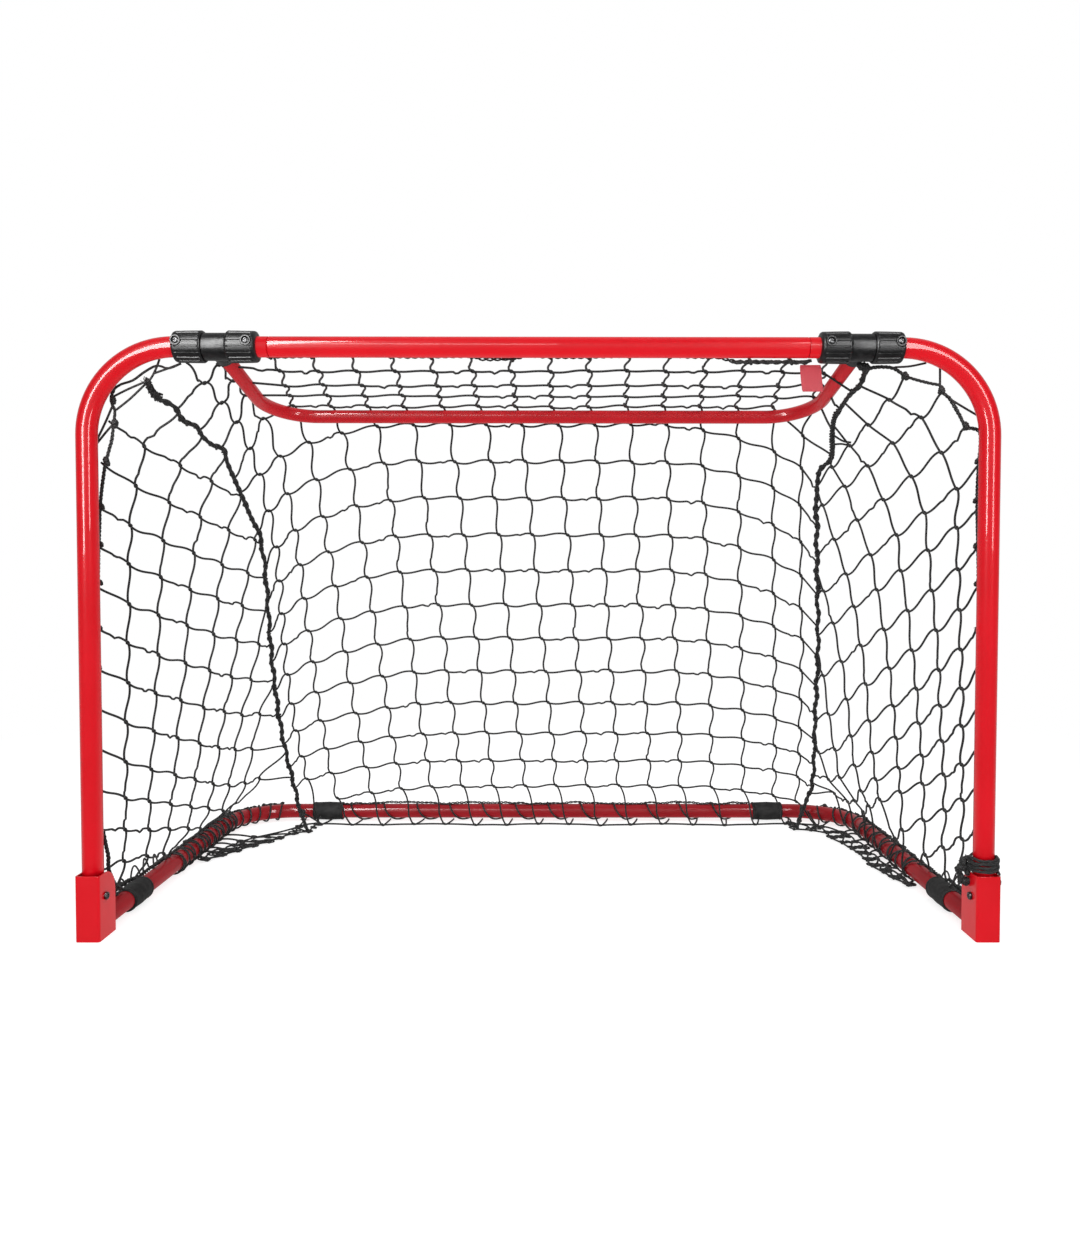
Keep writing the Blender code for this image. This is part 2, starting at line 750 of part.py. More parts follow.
def make_ground_lacing(body):
    """Lacing that ties the foot of the net to the ground tube, closer together round the bends."""
    first = SIDE_SLEEVE_DEPTH + SLEEVE_LENGTH / 2 + 20 * MM
    for name, side in SIDES.items():
        pitches = [50 * MM] * 4 + [21 * MM] * 5
        add_winding(
            f"{name}_ground_lacing",
            lambda distance, side=side: ground_frame_at(side, first + distance),
            pitches,
            body,
        )
    rear_turns = 12
    start = REAR_SLEEVE_X["left"] + SLEEVE_LENGTH / 2 + 12 * MM
    end = REAR_SLEEVE_X["right"] - SLEEVE_LENGTH / 2 - 12 * MM

    def rear_frame(distance):
        return at(start + distance, GROUND_DEPTH, GROUND_Z), Vector((0, 1, 0)), Vector((0, 0, 1))

    add_winding("rear_ground_lacing", rear_frame, [(end - start) / rear_turns] * rear_turns, body)


def make_foot_cord_wrap(body):
    """Spare cord wound three times round the right post, just above its bracket."""
    start = BRACKET_HEIGHT + 6 * MM

    def post_frame(distance):
        return at(POST_X, 0, start + distance), Vector((1, 0, 0)), Vector((0, 1, 0))

    add_winding("foot_cord_wrap", post_frame, [4.2 * MM] * 3, body)


# Net


def add_net(name, columns, rows, place, body, hole=None):
    """A net of square twine cells, with the cells of a hole left out."""
    shape = bmesh.new()
    bmesh.ops.create_grid(shape, x_segments=columns, y_segments=rows, size=0.5)
    if hole:
        inside = [face for face in shape.faces if hole(face.calc_center_median(), columns, rows)]
        bmesh.ops.delete(shape, geom=inside, context="FACES")
    for vert in shape.verts:
        column = round((vert.co.x + 0.5) * columns)
        row = round((0.5 - vert.co.y) * rows)
        vert.co = place(column, row)
    mesh = bpy.data.meshes.new(name)
    shape.to_mesh(mesh)
    shape.free()
    net = add_part(name, mesh, "black_twine", body)
    twine = net.modifiers.new("twine", "WIREFRAME")
    twine.thickness = 2 * TWINE_R
    twine.use_replace = True
    twine.use_boundary = True
    twine.use_even_offset = False
    return net


def coons(top, bottom, left, right, u, v):
    """A surface between four edges, each a function of its share from 0 to 1."""
    across = top(u).lerp(bottom(u), v)
    down = left(v).lerp(right(v), u)
    corners = top(0).lerp(top(1), u).lerp(bottom(0).lerp(bottom(1), u), v)
    return across + down - corners


def seam_point(name, key, value):
    """The seam's point at a given value of a key, such as its height."""
    places = SEAMS[name].places
    for before, after in zip(places, places[1:]):
        low, high = sorted((key(before), key(after)))
        if low <= value <= high:
            return before.lerp(after, (value - key(before)) / (key(after) - key(before)))
    return min(places, key=lambda place: abs(key(place) - value))


def beside_seam(name, point, towards):
    """A net's edge: square off the seam cord, on the side that the net lies."""
    places = SEAMS[name].places
    index = min(range(1, len(places) - 1), key=lambda number: (places[number] - point).length)
    along = (places[index + 1] - places[index - 1]).normalized()
    across = towards - along * along.dot(towards)
    return point + EDGE_OFFSET * across.normalized()


def seam_at_height(name, z):
    return seam_point(name, lambda place: place.z, z)


def seam_at_depth(name, depth):
    return seam_point(name, lambda place: place.y, POST_Y + depth)


def mesh_number(column):
    """The real net's mesh line that a column stands for. The outer meshes are drawn wider here."""
    if column < OUTER_COLUMNS["left"]:
        return 1.5 * column
    return 18 if column == PANEL_COLUMNS else column + 1


def back_droop(number):
    """How far the mesh lines beside the middle ones sag below them."""
    if number < 9:
        return 2.6 * MM * max(0, 6 - number) ** 2
    return 2.8 * MM * max(0, number - 12.5) ** 2


def back_point(column, row):
    """A crossing on the back panel, which hangs in a curve from the roof bar to the ground tube."""
    share = (row - ROOF_ROWS) / (PANEL_ROWS - ROOF_ROWS)
    number = mesh_number(column)
    sag = 0 if row == ROOF_ROWS else back_droop(number) * (1 - share**3)
    down = share + sag / BACK_PROFILE.lengths[-1]
    hung = BACK_PROFILE.point(down)
    pitch = (42.6 + 1.9 * down) * MM

    def inner_x(line):
        return (line - 9.5) * pitch + (47 * down - 1.5) * MM

    if OUTER_COLUMNS["left"] <= column <= PANEL_COLUMNS - OUTER_COLUMNS["right"]:
        return Vector((inner_x(number), hung.y, hung.z))
    name = "left" if number < 9 else "right"
    seam = beside_seam(name, seam_at_height(name, hung.z), TOWARDS_PANEL[name])
    if column in (0, PANEL_COLUMNS):
        return seam
    return Vector((inner_x(3), hung.y, hung.z)).lerp(seam, 0.6)


def outer_roof_point(column, row):
    """A crossing between the seam and the outer side of a roof arm."""
    name = "left" if column <= OUTER_COLUMNS["left"] else "right"
    side = SIDES[name]
    inward = column if name == "left" else PANEL_COLUMNS - column
    first = 14 if name == "left" else 30
    seam = seam_at_depth(name, (first + 5 + 39 * row) * MM)
    edge = beside_seam(name, seam, TOWARDS_PANEL[name])
    arm = on_roof(side * 327 * MM, (26 + 36 * row) * MM)
    if row == ROOF_ROWS:
        arm = at(side * 300 * MM, 187 * MM, 547 * MM)
    return edge.lerp(arm, inward / OUTER_COLUMNS[name])


def panel_point(column, row):
    """Where each crossing of the big panel lies, by column and row."""
    inner = OUTER_COLUMNS["left"] < column < PANEL_COLUMNS - OUTER_COLUMNS["right"]
    if row > ROOF_ROWS or (row == ROOF_ROWS and inner):
        return back_point(column, row)
    return outer_roof_point(column, row)


def roof_hole(centre, columns, rows):
    """The cells of the big panel that belong to the roof net."""
    column = (centre.x + 0.5) * columns
    row = (0.5 - centre.y) * rows
    return row < ROOF_ROWS and OUTER_COLUMNS["left"] < column < columns - OUTER_COLUMNS["right"]


def make_roof_net(body):
    """The part of the big panel that rides on the roof bar."""
    columns = PANEL_COLUMNS - sum(OUTER_COLUMNS.values())
    middle_x = -9 * MM
    front = at(middle_x, 14.3 * MM, 574.8 * MM)
    rear = at(middle_x, 172 * MM, 554.4 * MM)
    front_x = 254 * MM
    rear_x = 278 * MM

    def place(column, row):
        v = row / ROOF_ROWS
        half = front_x + (rear_x - front_x) * v
        point = front.lerp(rear, v)
        point.x = middle_x + half * (2 * column / columns - 1)
        return point

    add_net("roof_net", columns, ROOF_ROWS, place, body)


def side_droop(name, depth):
    """How far a row of a side panel falls from the post to a depth."""
    if name == "left":
        return 80 * MM * (1 - max(0, 1 - depth / (320 * MM)) ** 1.4)
    return 0.5 * min(depth, 330 * MM)


def side_x(name, post_edge, depth, z):
    """How far out a side panel hangs. Its rows run straight in plan from the post to the seam."""
    side = SIDES[name]
    front_z = z + side_droop(name, depth)
    front = min(post_edge.places, key=lambda place: abs(place.z - front_z))
    seam = SEAMS[name].places
    ends = (place for place in seam if front_z - side_droop(name, place.y - POST_Y) >= place.z)
    end = next(ends, seam[-1])
    start_depth = front.y - POST_Y
    share = (depth - start_depth) / (end.y - POST_Y - start_depth)
    x = front.x + (end.x - front.x) * min(share, 1)
    tube = ground_frame_at(side, depth)[0].x - side * 3 * MM
    pull = min(1, max(0, (150 * MM - z) / (125 * MM))) ** 1.5
    return x + (tube - x) * pull


def make_side_net(name, side, body):
    """A side panel between the post, the seam and the ground tube."""
    towards_side = Vector((side * 0.5, -0.6, -0.62))
    seam = SEAMS[name]

    def seam_edge(share):
        return beside_seam(name, seam.point(share), towards_side)

    split = 0.42 if name == "left" else 0.36
    behind_post = 17 * MM
    corner = seam_edge(0)
    corner.y = POST_Y + behind_post
    foot = at(side * (POST_X - 2 * MM), 27 * MM, 42 * MM)
    post_edge = Route([
        corner,
        at(side * (POST_X - 20 * MM), behind_post, 512 * MM),
        at(side * (POST_X - 3 * MM), behind_post, 440 * MM),
        at(side * (POST_X - 2 * MM), behind_post, 240 * MM),
        foot,
    ])
    over_tube = GROUND_Z + 16.5 * MM
    rear_corner = seam_edge(1)
    floor_route = Route([
        foot,
        at(side * (POST_X - 2 * MM), 75 * MM, over_tube),
        at(side * (POST_X - 2 * MM), 240 * MM, over_tube),
        at(side * (POST_X - 6 * MM), 370 * MM, over_tube),
        at(side * (POST_X - 35 * MM), 420 * MM, over_tube),
        rear_corner,
    ])

    def place(column, row):
        point = coons(
            lambda u: corner if u == 0 else seam_edge(u * split),
            floor_route.point,
            post_edge.point,
            lambda v: seam_edge(split + (1 - split) * v),
            column / SIDE_COLUMNS,
            row / SIDE_ROWS,
        )
        if 0 < column < SIDE_COLUMNS and 0 < row < SIDE_ROWS:
            point.x = side_x(name, post_edge, point.y - POST_Y, point.z)
        return point

    add_net(f"{name}_side_net", SIDE_COLUMNS, SIDE_ROWS, place, body)


def build():
    arch = add_body("front_frame", at(0, 0, 0))
    ground = add_body("ground_frame", at(0, 0, PIVOT_Z))
    roof = add_body("roof", at(0, 0, BAR_Z))
    make_crossbar_tube(arch)
    make_collars(arch)
    make_crossbar_lacing(arch)
    make_foot_cord_wrap(arch)
    make_strap_tab(arch)
    make_ground_tube(ground)
    make_ground_lacing(ground)
    make_roof_bar(roof)
    make_roof_net(roof)
    for name, side in SIDES.items():
        make_corner_tube(name, side, arch)
        for position, x in zip(("outer", "inner"), screw_stations(side)):
            make_collar_screw(f"{name}_{position}_screw", x, arch)
        make_edge_cord(name, side, arch)
        make_seam_cord(name, arch)
        make_side_net(name, side, arch)
        make_bracket(name, side, ground)
        make_hinge_bolt(name, side, ground)
        rear_place = at(REAR_SLEEVE_X[name], GROUND_DEPTH, GROUND_Z)
        side_place = at(side * POST_X, SIDE_SLEEVE_DEPTH, GROUND_Z)
        make_sleeve(f"{name}_rear_sleeve", rear_place, (1, 0, 0), ground)
        make_sleeve(f"{name}_side_sleeve", side_place, (0, 1, 0), ground)
        make_barrel(name, side, roof)
    add_net("back_net", PANEL_COLUMNS, PANEL_ROWS, panel_point, arch, roof_hole)


SEAMS = {name: seam_route(name) for name in SIDES}
TOWARDS_PANEL = {
    "left": Vector((0.7, 0.35, 0.62)),
    "right": Vector((-0.7, 0.35, 0.62)),
}
BACK_CORNERS = [(188, 545), (198, 521), (239, 453), (312, 276), (365, 142), (437, 25)]
BACK_PROFILE = Route([at(0, depth * MM, z * MM) for depth, z in BACK_CORNERS])

clear_scene()
PARTS = new_collection("street_goal")
GUIDES = new_collection("cutters")
build()
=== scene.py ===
"""The finished look of a small folding street goal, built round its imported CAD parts.

X runs across the goal, Y from the mouth to the back and Z up. Sizes in this script are millimetres,
and a place is (x, depth, z), where depth is measured back from the plane of the posts.
"""

import json
import math
import random

import bpy
import numpy as np
from mathutils import Matrix, Vector


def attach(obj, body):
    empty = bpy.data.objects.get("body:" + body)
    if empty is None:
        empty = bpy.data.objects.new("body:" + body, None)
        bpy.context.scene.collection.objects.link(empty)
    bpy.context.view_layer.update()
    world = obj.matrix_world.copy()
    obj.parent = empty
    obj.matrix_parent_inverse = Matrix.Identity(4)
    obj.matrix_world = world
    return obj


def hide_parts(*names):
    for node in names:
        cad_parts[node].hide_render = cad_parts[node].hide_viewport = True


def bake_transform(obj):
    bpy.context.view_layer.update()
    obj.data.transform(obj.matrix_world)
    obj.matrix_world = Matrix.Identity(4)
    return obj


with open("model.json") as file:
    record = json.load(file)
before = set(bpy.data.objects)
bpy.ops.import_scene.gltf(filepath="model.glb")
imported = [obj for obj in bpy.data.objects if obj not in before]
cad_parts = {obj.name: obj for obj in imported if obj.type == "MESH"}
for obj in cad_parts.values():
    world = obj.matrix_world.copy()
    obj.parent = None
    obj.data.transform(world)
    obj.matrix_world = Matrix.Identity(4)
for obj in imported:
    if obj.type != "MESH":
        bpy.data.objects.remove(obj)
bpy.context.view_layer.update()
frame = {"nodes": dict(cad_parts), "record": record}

MM = 0.001
POST_Y = -223.55
CHANCE = random.Random(7)
SIDES = {"left": -1, "right": 1}
UP = np.array((0.0, 0.0, 1.0))

# Frame of tubes
TUBE_R = 10
WALL = 1
POST_X = 440
POST_FOOT_Z = 32
BAR_Z = 580
ARCH_BEND_R = 86
JOINT_X = 262
JOINT_GAP = 0.15
SPIGOT_R = 8.4
SPIGOT_LENGTH = 35
GROUND_Z = 13
GROUND_START = -10.9
GROUND_DEPTH = 450
GROUND_BEND_R = 80
ARM_X = 312.6
ARM_R = 7.5
ARM_START = 13.9
ARM_LENGTH = 181
ARM_DROP = math.radians(11.9)
ROOF_BEND_R = 55
TUBE_SIDES = 56
BEND_STEPS = 24

# Fittings
PIVOT_Z = 42
BARREL_R = 13.25
BARREL_HALF_LENGTH = 11.45
BORE_R = 10.4
BOSS_R = 9.6
BOSS_REACH = 24
SOCKET_R = 7.9
COLLAR_R = 15.4
COLLAR_LENGTH = 28.7
COLLAR_FLUTES = 18
FLUTE_DEPTH = 0.8
SCREW_RISE = 3
OUTER_SCREW_X = 347.05
INNER_SCREW_X = 280.15
BRACKET_HALF_WIDTH = 12
BRACKET_SHEET = 1.5
BRACKET_BEND_R = 2.5
BRACKET_FRONT = 13
BRACKET_REAR = 21
BRACKET_HEIGHT = 65
BRACKET_REAR_HEIGHT = 44
BRACKET_TOP_DEPTH = 3
BRACKET_ROUNDING = 15
BOLT_HOLE_R = 2.8
SLEEVE_BORE_R = 10.5
SLEEVE_R = 13
SLEEVE_LENGTH = 43
SLEEVE_RIM = ((0.6, 4.5), (0.8, 3.2), (0.2, 2.6), (0.3, 0.7), (1.0, 0))
REAR_SLEEVE_X = {"left": -314, "right": 328}
SIDE_SLEEVE_DEPTH = 89.5

# Net and cords
TWINE_R = 1.2
SEAM_R = 2.2
FLOOR_LIE = 1.4
EDGE_DEPTH = 12.1
EDGE_FOOT_Z = {"left": 73, "right": 90}
TAB_SIZE = (21, 26)
TAB_X = 270
TAB_TOP_Z = 566

# Big panel: its columns and rows of crossings. The roof's middle columns lie on the roof bar
MESH_SIDE = 48
LAST_ROW = 17
LAST_COLUMN = 18
MIDDLE_COLUMN = 9
MIDDLE_LINE = 9.5
ROOF_COLUMNS = range(3, 17)
BACK_ROW = 5
BACK_LENGTH = 576
BACK_CORNERS = ((0, 190, 536), (0, 239, 453), (0, 312, 276), (0, 365, 142), (0, 436, 17))
SHARE_TO_SEAM = {0: 1.0, 1: 0.82, 2: 0.47, 17: 0.66, 18: 1.0}
ROOF_ROW_DEPTHS = (14, 57, 102, 137, 174)
OUTER_ROOF_KNOTS = {
    1: ((-346, 12, 567), (-344.5, 55, 557), (-343, 98, 544), (-341.5, 141, 530), (-340, 184, 507)),
    2: ((-304, 12, 569), (-321.5, 33, 570), (-321.5, 74, 562), (-321.5, 113, 555), (-321.5, 173, 539)),
    17: ((284, 14, 572), (293, 57, 568), (303, 100, 566), (306, 140, 558), (306.5, 184, 523)),
}

# Side panels: rows that end on the ground tube, by the length along it and how they curve down to it
ROW_PITCH = 40.6
RIGHT_ROW_SLOPES = (0.4, 0.44, 0.47, 0.5, 0.5, 0.53, 0.56, 0.58, 0.57, 0.54)
TUBE_ROWS = {
    "left": {10: (380, 0.93), 11: (295, 1.08), 12: (183, 1.8)},
    "right": {11: (357, 0.93), 12: (240, 1.05), 13: (165, 1.05), 14: (84, 1.0)},
}
TUBE_TOP_Z = 27

# Sewn lines where the big panel meets the side panels, from the arch to the rear bends
SEAM_CORNERS = {
    "left": (
        (-394, 19, 553), (-376, 62, 520), (-366, 112, 503), (-361, 165, 479), (-352, 215, 433),
        (-349, 258, 386), (-357, 318, 247), (-358, 356, 156), (-354, 395, 76), (-354, 432, 29),
    ),
    "right": (
        (326, 30, 560), (327, 98, 541), (332, 160, 514), (334, 222, 463), (345, 258, 380),
        (361, 306, 265), (369, 345, 165), (378, 382, 85), (385, 432, 32),
    ),
}

# Lacing of the ground tube: where it starts, the pitch of its turns and their number
LACING_TURNS = {"left": (196, 17, 17), "right": (168, 27, 11)}
FOOT_TAIL = ((12, 4, 72), (15.5, 3, 66), (15.8, 2, 57), (17, 0, 53))

# Where the photo shows the cords, in its pixels
EDGE_TOPS = {
    "left": (
        (104.5, 469), (106.5, 460), (109.3, 449), (112, 439), (113.5, 424.5), (114.9, 411),
        (112, 404), (111.4, 396.5), (114.2, 389), (120.5, 384.5), (133, 380.3),
        (144.4, 372), (157, 365.6), (168.2, 368.4), (180.8, 363.5),
    ),
    "right": (
        (979, 461), (980, 448.6), (979.5, 431.5), (966, 426.5), (959.4, 415), (950, 399),
        (943.3, 393), (940, 385.6), (931.2, 383.6), (917.9, 380.3), (905.8, 376.2),
        (893.7, 368.5), (880.4, 367), (867, 368.2), (862, 365.5),
    ),
}
EDGE_KNOTS = {
    "left": ((114.5, 424), (113, 400), (106.3, 461)),
    "right": ((905.8, 376), (942, 390), (966, 426)),
}
SPARE_CORDS = {
    "left": (
        ((113.5, 396.5), (128.9, 388.8), (147.2, 381)),
        ((116.3, 409.8), (130.3, 398.6), (145.5, 384)),
        ((112, 407), (106, 421), (96.5, 441)),
        ((113.5, 423.8), (107, 431), (96.5, 444)),
        ((148.6, 381.7), (152.8, 375.4), (157, 366.3), (159.5, 359)),
        ((154.2, 373.3), (168.2, 368.4), (181, 363.5)),
        ((114.2, 389), (115.5, 382)),
    ),
    "right": (
        ((940, 385.6), (940, 367)),
        ((950, 399), (963, 407), (981, 417.5)),
        ((895, 367.2), (910, 366.3), (926, 363)),
        ((863, 364), (868, 368.5), (873, 367)),
    ),
}
SEAM_TOPS = {
    "left": (
        (147, 382), (150, 389), (154, 396), (161, 399), (171, 404), (176.6, 410), (179.4, 418),
        (186.5, 423), (196.3, 426.6), (200.5, 432), (204.7, 440.7), (211.7, 445), (220, 446.3),
        (224.3, 452), (228.5, 466),
    ),
    "right": (
        (865.6, 369), (864.3, 377.6), (860.3, 384.3), (853.6, 390.3), (845.5, 400.4), (842.9, 405.7),
        (837.5, 411), (834.2, 419), (832, 432.5), (832, 452.6), (828.8, 462), (821.4, 466),
    ),
}
SEAM_FLOOR_KNOTS = {"left": (307, 829), "right": (797, 827)}
LEFT_BUNDLE = ((146.5, 381), (150, 388.8), (154.2, 395.8), (161.2, 398.6))
RIGHT_SEAM_START = ((862, 364), (866, 370))
RIGHT_SEAM_KNOT = (864, 367)
RIGHT_SEAM_TIES = (((833, 435), (843, 441), (851, 442.5)), ((833.5, 444.5), (842, 444), (851, 446)))
LEFT_FOOT_CORD = ((103, 832), (106.6, 848), (108.4, 857), (108.6, 869), (114.6, 884), (121, 889))
LEFT_FOOT_DEPTHS = (12, 12, 13, 16, 42, 64)
FLOOR_EDGES = {
    "left": ((205.7, 860.4), (225.4, 855), (248.6, 847.9), (268.2, 842.5), (289.6, 835.4), (310, 832)),
    "right": (
        (793.5, 829), (823.5, 832.5), (835.5, 840), (858, 853), (877.5, 869), (892.4, 878), (909, 885),
    ),
}

# Camera that took the photo, in pixels of its 1080 x 1242 frame
PHOTO_SIZE = (1080, 1242)
FOCAL_PIXELS = 936.9
PRINCIPAL_PIXEL = (554.3, 605.2)
SENSOR = 36
CAMERA_PLACE = np.array((13.1, -917.4, 358.4))
CAMERA_PITCH = 0.0315
CAMERA_YAW = -0.0023
CAMERA_ROLL = 0.0009

# A line through the side view, from front to rear, parts the net that follows the roof bar from the rest
SPLIT_FRONT = (17, 360)
SPLIT_REAR = (300, 285)


# Points and paths


def place(x, depth, z):
    return np.array((x, depth, z), float)


def camera_turn():
    level = Matrix.Rotation(CAMERA_YAW, 3, "Z") @ Matrix.Rotation(math.pi / 2 - CAMERA_PITCH, 3, "X")
    return level @ Matrix.Rotation(CAMERA_ROLL, 3, "Z")


def in_cad_frame(points):
    """Places of this script in metres, in the frame of the CAD."""
    return (points + (0, POST_Y, 0)) * MM


def sight(pixel):
    """The direction in which the camera sees a pixel of the photo."""
    across = pixel[0] - PRINCIPAL_PIXEL[0]
    up = PRINCIPAL_PIXEL[1] - pixel[1]
    return np.array(camera_turn() @ Vector((across, up, -FOCAL_PIXELS)))


def seen_at(pixel, depth):
    """The place that the photo shows at a pixel, at a depth behind the posts."""
    ray = sight(pixel)
    return CAMERA_PLACE + ray * (depth - CAMERA_PLACE[1]) / ray[1]


def seen_on_floor(pixel, height=FLOOR_LIE):
    ray = sight(pixel)
    return CAMERA_PLACE + ray * (height - CAMERA_PLACE[2]) / ray[2]


def is_upper(point):
    """Whether a piece of net follows the roof bar, rather than the ground tube."""
    slope = (SPLIT_REAR[1] - SPLIT_FRONT[1]) / (SPLIT_REAR[0] - SPLIT_FRONT[0])
    return point[2] > SPLIT_FRONT[1] + slope * (point[1] - SPLIT_FRONT[0])


def on_roof(x, along, above=0.0):
    """A place in the roof bar's sloping plane, measured from the crossbar's axis."""
    depth = along * math.cos(ARM_DROP) + above * math.sin(ARM_DROP)
    return place(x, depth, BAR_Z + above * math.cos(ARM_DROP) - along * math.sin(ARM_DROP))


def unit(vector):
    return vector / np.linalg.norm(vector)


def smooth_route(corners, steps=10):
    """A smooth curve through a few places."""
    corners = np.array(corners, float)
    ends = [2 * corners[0] - corners[1], *corners, 2 * corners[-1] - corners[-2]]
    points = [corners[0]]
    for a, b, c, d in zip(ends, ends[1:], ends[2:], ends[3:]):
        for step in range(1, steps + 1):
            t = step / steps
            bend = (2 * a - 5 * b + 4 * c - d) * t * t + (3 * b - a - 3 * c + d) * t**3
            points.append((2 * b + (c - a) * t + bend) / 2)
    return np.array(points)


def path_lengths(points):
    steps = np.linalg.norm(np.diff(points, axis=0), axis=1)
    return np.concatenate(([0.0], np.cumsum(steps)))


def along_path(points, wanted, values=None):
    """The place at a length along a path, or what values for its points come to there."""
    lengths = path_lengths(points)
    values = points if values is None else values
    return np.stack([np.interp(wanted, lengths, values[:, axis]) for axis in range(3)], axis=-1)


def resample(points, spacing):
    """The same path with points at an even spacing."""
    length = path_lengths(points)[-1]
    count = max(2, round(length / spacing) + 1)
    return along_path(points, np.linspace(0, length, count))


def nearest_on(path, point):
    return path[np.argmin(np.linalg.norm(path - point, axis=1))]


def rounded_path(corners, radius):
    """A path through corners, with an arc of the radius at each inner one."""
    points = [corners[0]]
    for before, corner, after in zip(corners, corners[1:], corners[2:]):
        back = unit(before - corner)
        ahead = unit(after - corner)
        half = math.acos(float(np.dot(back, ahead))) / 2
        centre = corner + unit(back + ahead) * radius / math.sin(half)
        spoke = corner + back * radius / math.tan(half) - centre
        turn_axis = Vector(np.cross(back, ahead))
        for step in range(BEND_STEPS + 1):
            turn = Matrix.Rotation(-(math.pi - 2 * half) * step / BEND_STEPS, 3, turn_axis)
            points.append(centre + np.array(turn @ Vector(spoke)))
    points.append(corners[-1])
    return np.array(points)


def hermite(start, end, leave, arrive, count):
    """A curve between two places, with the directions in which it leaves and arrives."""
    t = np.linspace(0, 1, count)[:, None]
    return (
        (2 * t**3 - 3 * t**2 + 1) * start
        + (t**3 - 2 * t**2 + t) * leave
        + (3 * t**2 - 2 * t**3) * end
        + (t**3 - t**2) * arrive
    )


# Meshes


def directions_across(points):
    """Two steady directions across a path, at each of its points."""
    tangents = np.gradient(points, axis=0)
    tangents /= np.linalg.norm(tangents, axis=1)[:, None]
    start = np.cross(tangents[0], (0.31, 0.17, 0.93))
    if np.linalg.norm(start) < 0.1:
        start = np.cross(tangents[0], (1.0, 0.0, 0.0))
    normals = [unit(start)]
    for tangent in tangents[1:]:
        normals.append(unit(normals[-1] - tangent * np.dot(normals[-1], tangent)))
    normals = np.array(normals)
    return normals, np.cross(tangents, normals)


def add_to_scene(name, data):
    made = bpy.data.objects.new(name, data)
    bpy.context.scene.collection.objects.link(made)
    return made


def spokes_round(points, sides):
    """For each point of a path, directions all round it."""
    normals, others = directions_across(points)
    angles = np.arange(sides) * 2 * math.pi / sides
    return (
        np.cos(angles)[None, :, None] * normals[:, None, :]
        + np.sin(angles)[None, :, None] * others[:, None, :]
    )


class Shape:
    """Points, faces and texture places gathered for one piece."""

    def __init__(self):
        self.points = []
        self.faces = []
        self.texture = []
        self.count = 0

    def add_rings(self, rings, along, closed=False, caps=False):
        """Join rings of points into a skin. The texture runs once round, and by length along."""
        steps, sides = rings.shape[:2]
        first = self.count
        self.points.append(rings.reshape(-1, 3))
        self.count += steps * sides
        for i in range(steps if closed else steps - 1):
            here = first + i * sides
            there = first + (i + 1) % steps * sides
            low, high = along[i], along[(i + 1) % steps]
            for j in range(sides):
                k = (j + 1) % sides
                self.faces.append((here + j, here + k, there + k, there + j))
                u, v = j / sides, (j + 1) / sides
                self.texture.append(((u, low), (v, low), (v, high), (u, high)))
        if caps:
            last = first + (steps - 1) * sides
            ends = (range(first + sides - 1, first - 1, -1), range(last, last + sides))
            for face, height in zip(ends, (along[0], along[-1])):
                self.faces.append(tuple(face))
                self.texture.append(tuple((0.5, height) for _ in face))

    def add_tube(self, points, radius, sides=8):
        """A round skin along a path. The radius is one number or one for each point."""
        points = np.asarray(points, float)
        radii = np.broadcast_to(np.asarray(radius, float), (len(points),))[:, None, None]
        rings = points[:, None, :] + radii * spokes_round(points, sides)
        self.add_rings(rings, path_lengths(points), caps=True)

    def piece(self, name, finish, smooth=True, sharp=None):
        """The object made of this shape. Nothing of it lies below the floor."""
        points = in_cad_frame(np.concatenate(self.points))
        points[:, 2] = np.maximum(points[:, 2], 0)
        mesh = bpy.data.meshes.new(name)
        mesh.from_pydata(points.tolist(), [], self.faces)
        layer = mesh.uv_layers.new(name="run")
        places = [value for face in self.texture for corner in face for value in corner]
        layer.data.foreach_set("uv", places)
        mesh.materials.append(finish)
        if smooth:
            mesh.shade_smooth()
        if sharp:
            mesh.set_sharp_from_angle(angle=math.radians(sharp))
        return add_to_scene(name, mesh)

    def look(self, node, body, finish, slot_name, sharp=None):
        """The look that takes the place of a node of the CAD."""
        made = self.piece(f"{node}_look", finish, sharp=sharp)
        finish_piece(made, body, node)
        return made


def turned(shape, profile, steps, centre, axis, wobble=None, closed=True):
    """Turn a profile of (radius, height) about an axis through the centre."""
    axis = unit(np.array(axis, float))
    side = unit(np.cross(axis, (0.0, 0.0, 1.0) if abs(axis[2]) < 0.9 else (1.0, 0.0, 0.0)))
    other = np.cross(axis, side)
    angles = np.arange(steps) * 2 * math.pi / steps
    rings = []
    for radius, height in profile:
        radii = np.full(steps, float(radius))
        if wobble:
            radii = radii + wobble(angles, radius, height)
        spokes = np.cos(angles)[:, None] * side + np.sin(angles)[:, None] * other
        rings.append(centre + height * axis + radii[:, None] * spokes)
    heights = [height for _, height in profile]
    shape.add_rings(np.array(rings), heights, closed=closed, caps=not closed)


def mirrored(profile):
    """A profile on the other side of height 0, in the order that goes on round the outline."""
    return [(radius, -height) for radius, height in reversed(profile)]


def rounded_profile(corners, radius, steps=4):
    """A closed profile whose corners are rounded."""
    points = []
    count = len(corners)
    for index, corner in enumerate(corners):
        corner = np.array(corner, float)
        before = np.array(corners[index - 1], float)
        after = np.array(corners[(index + 1) % count], float)
        reach = min(radius, np.linalg.norm(before - corner) / 2.2, np.linalg.norm(after - corner) / 2.2)
        start = corner + unit(before - corner) * reach
        end = corner + unit(after - corner) * reach
        for step in range(steps + 1):
            t = step / steps
            points.append(tuple((1 - t) ** 2 * start + 2 * t * (1 - t) * corner + t * t * end))
    return points


def finish_piece(made, body, node=None):
    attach(made, body)
    if node:
        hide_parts(node)


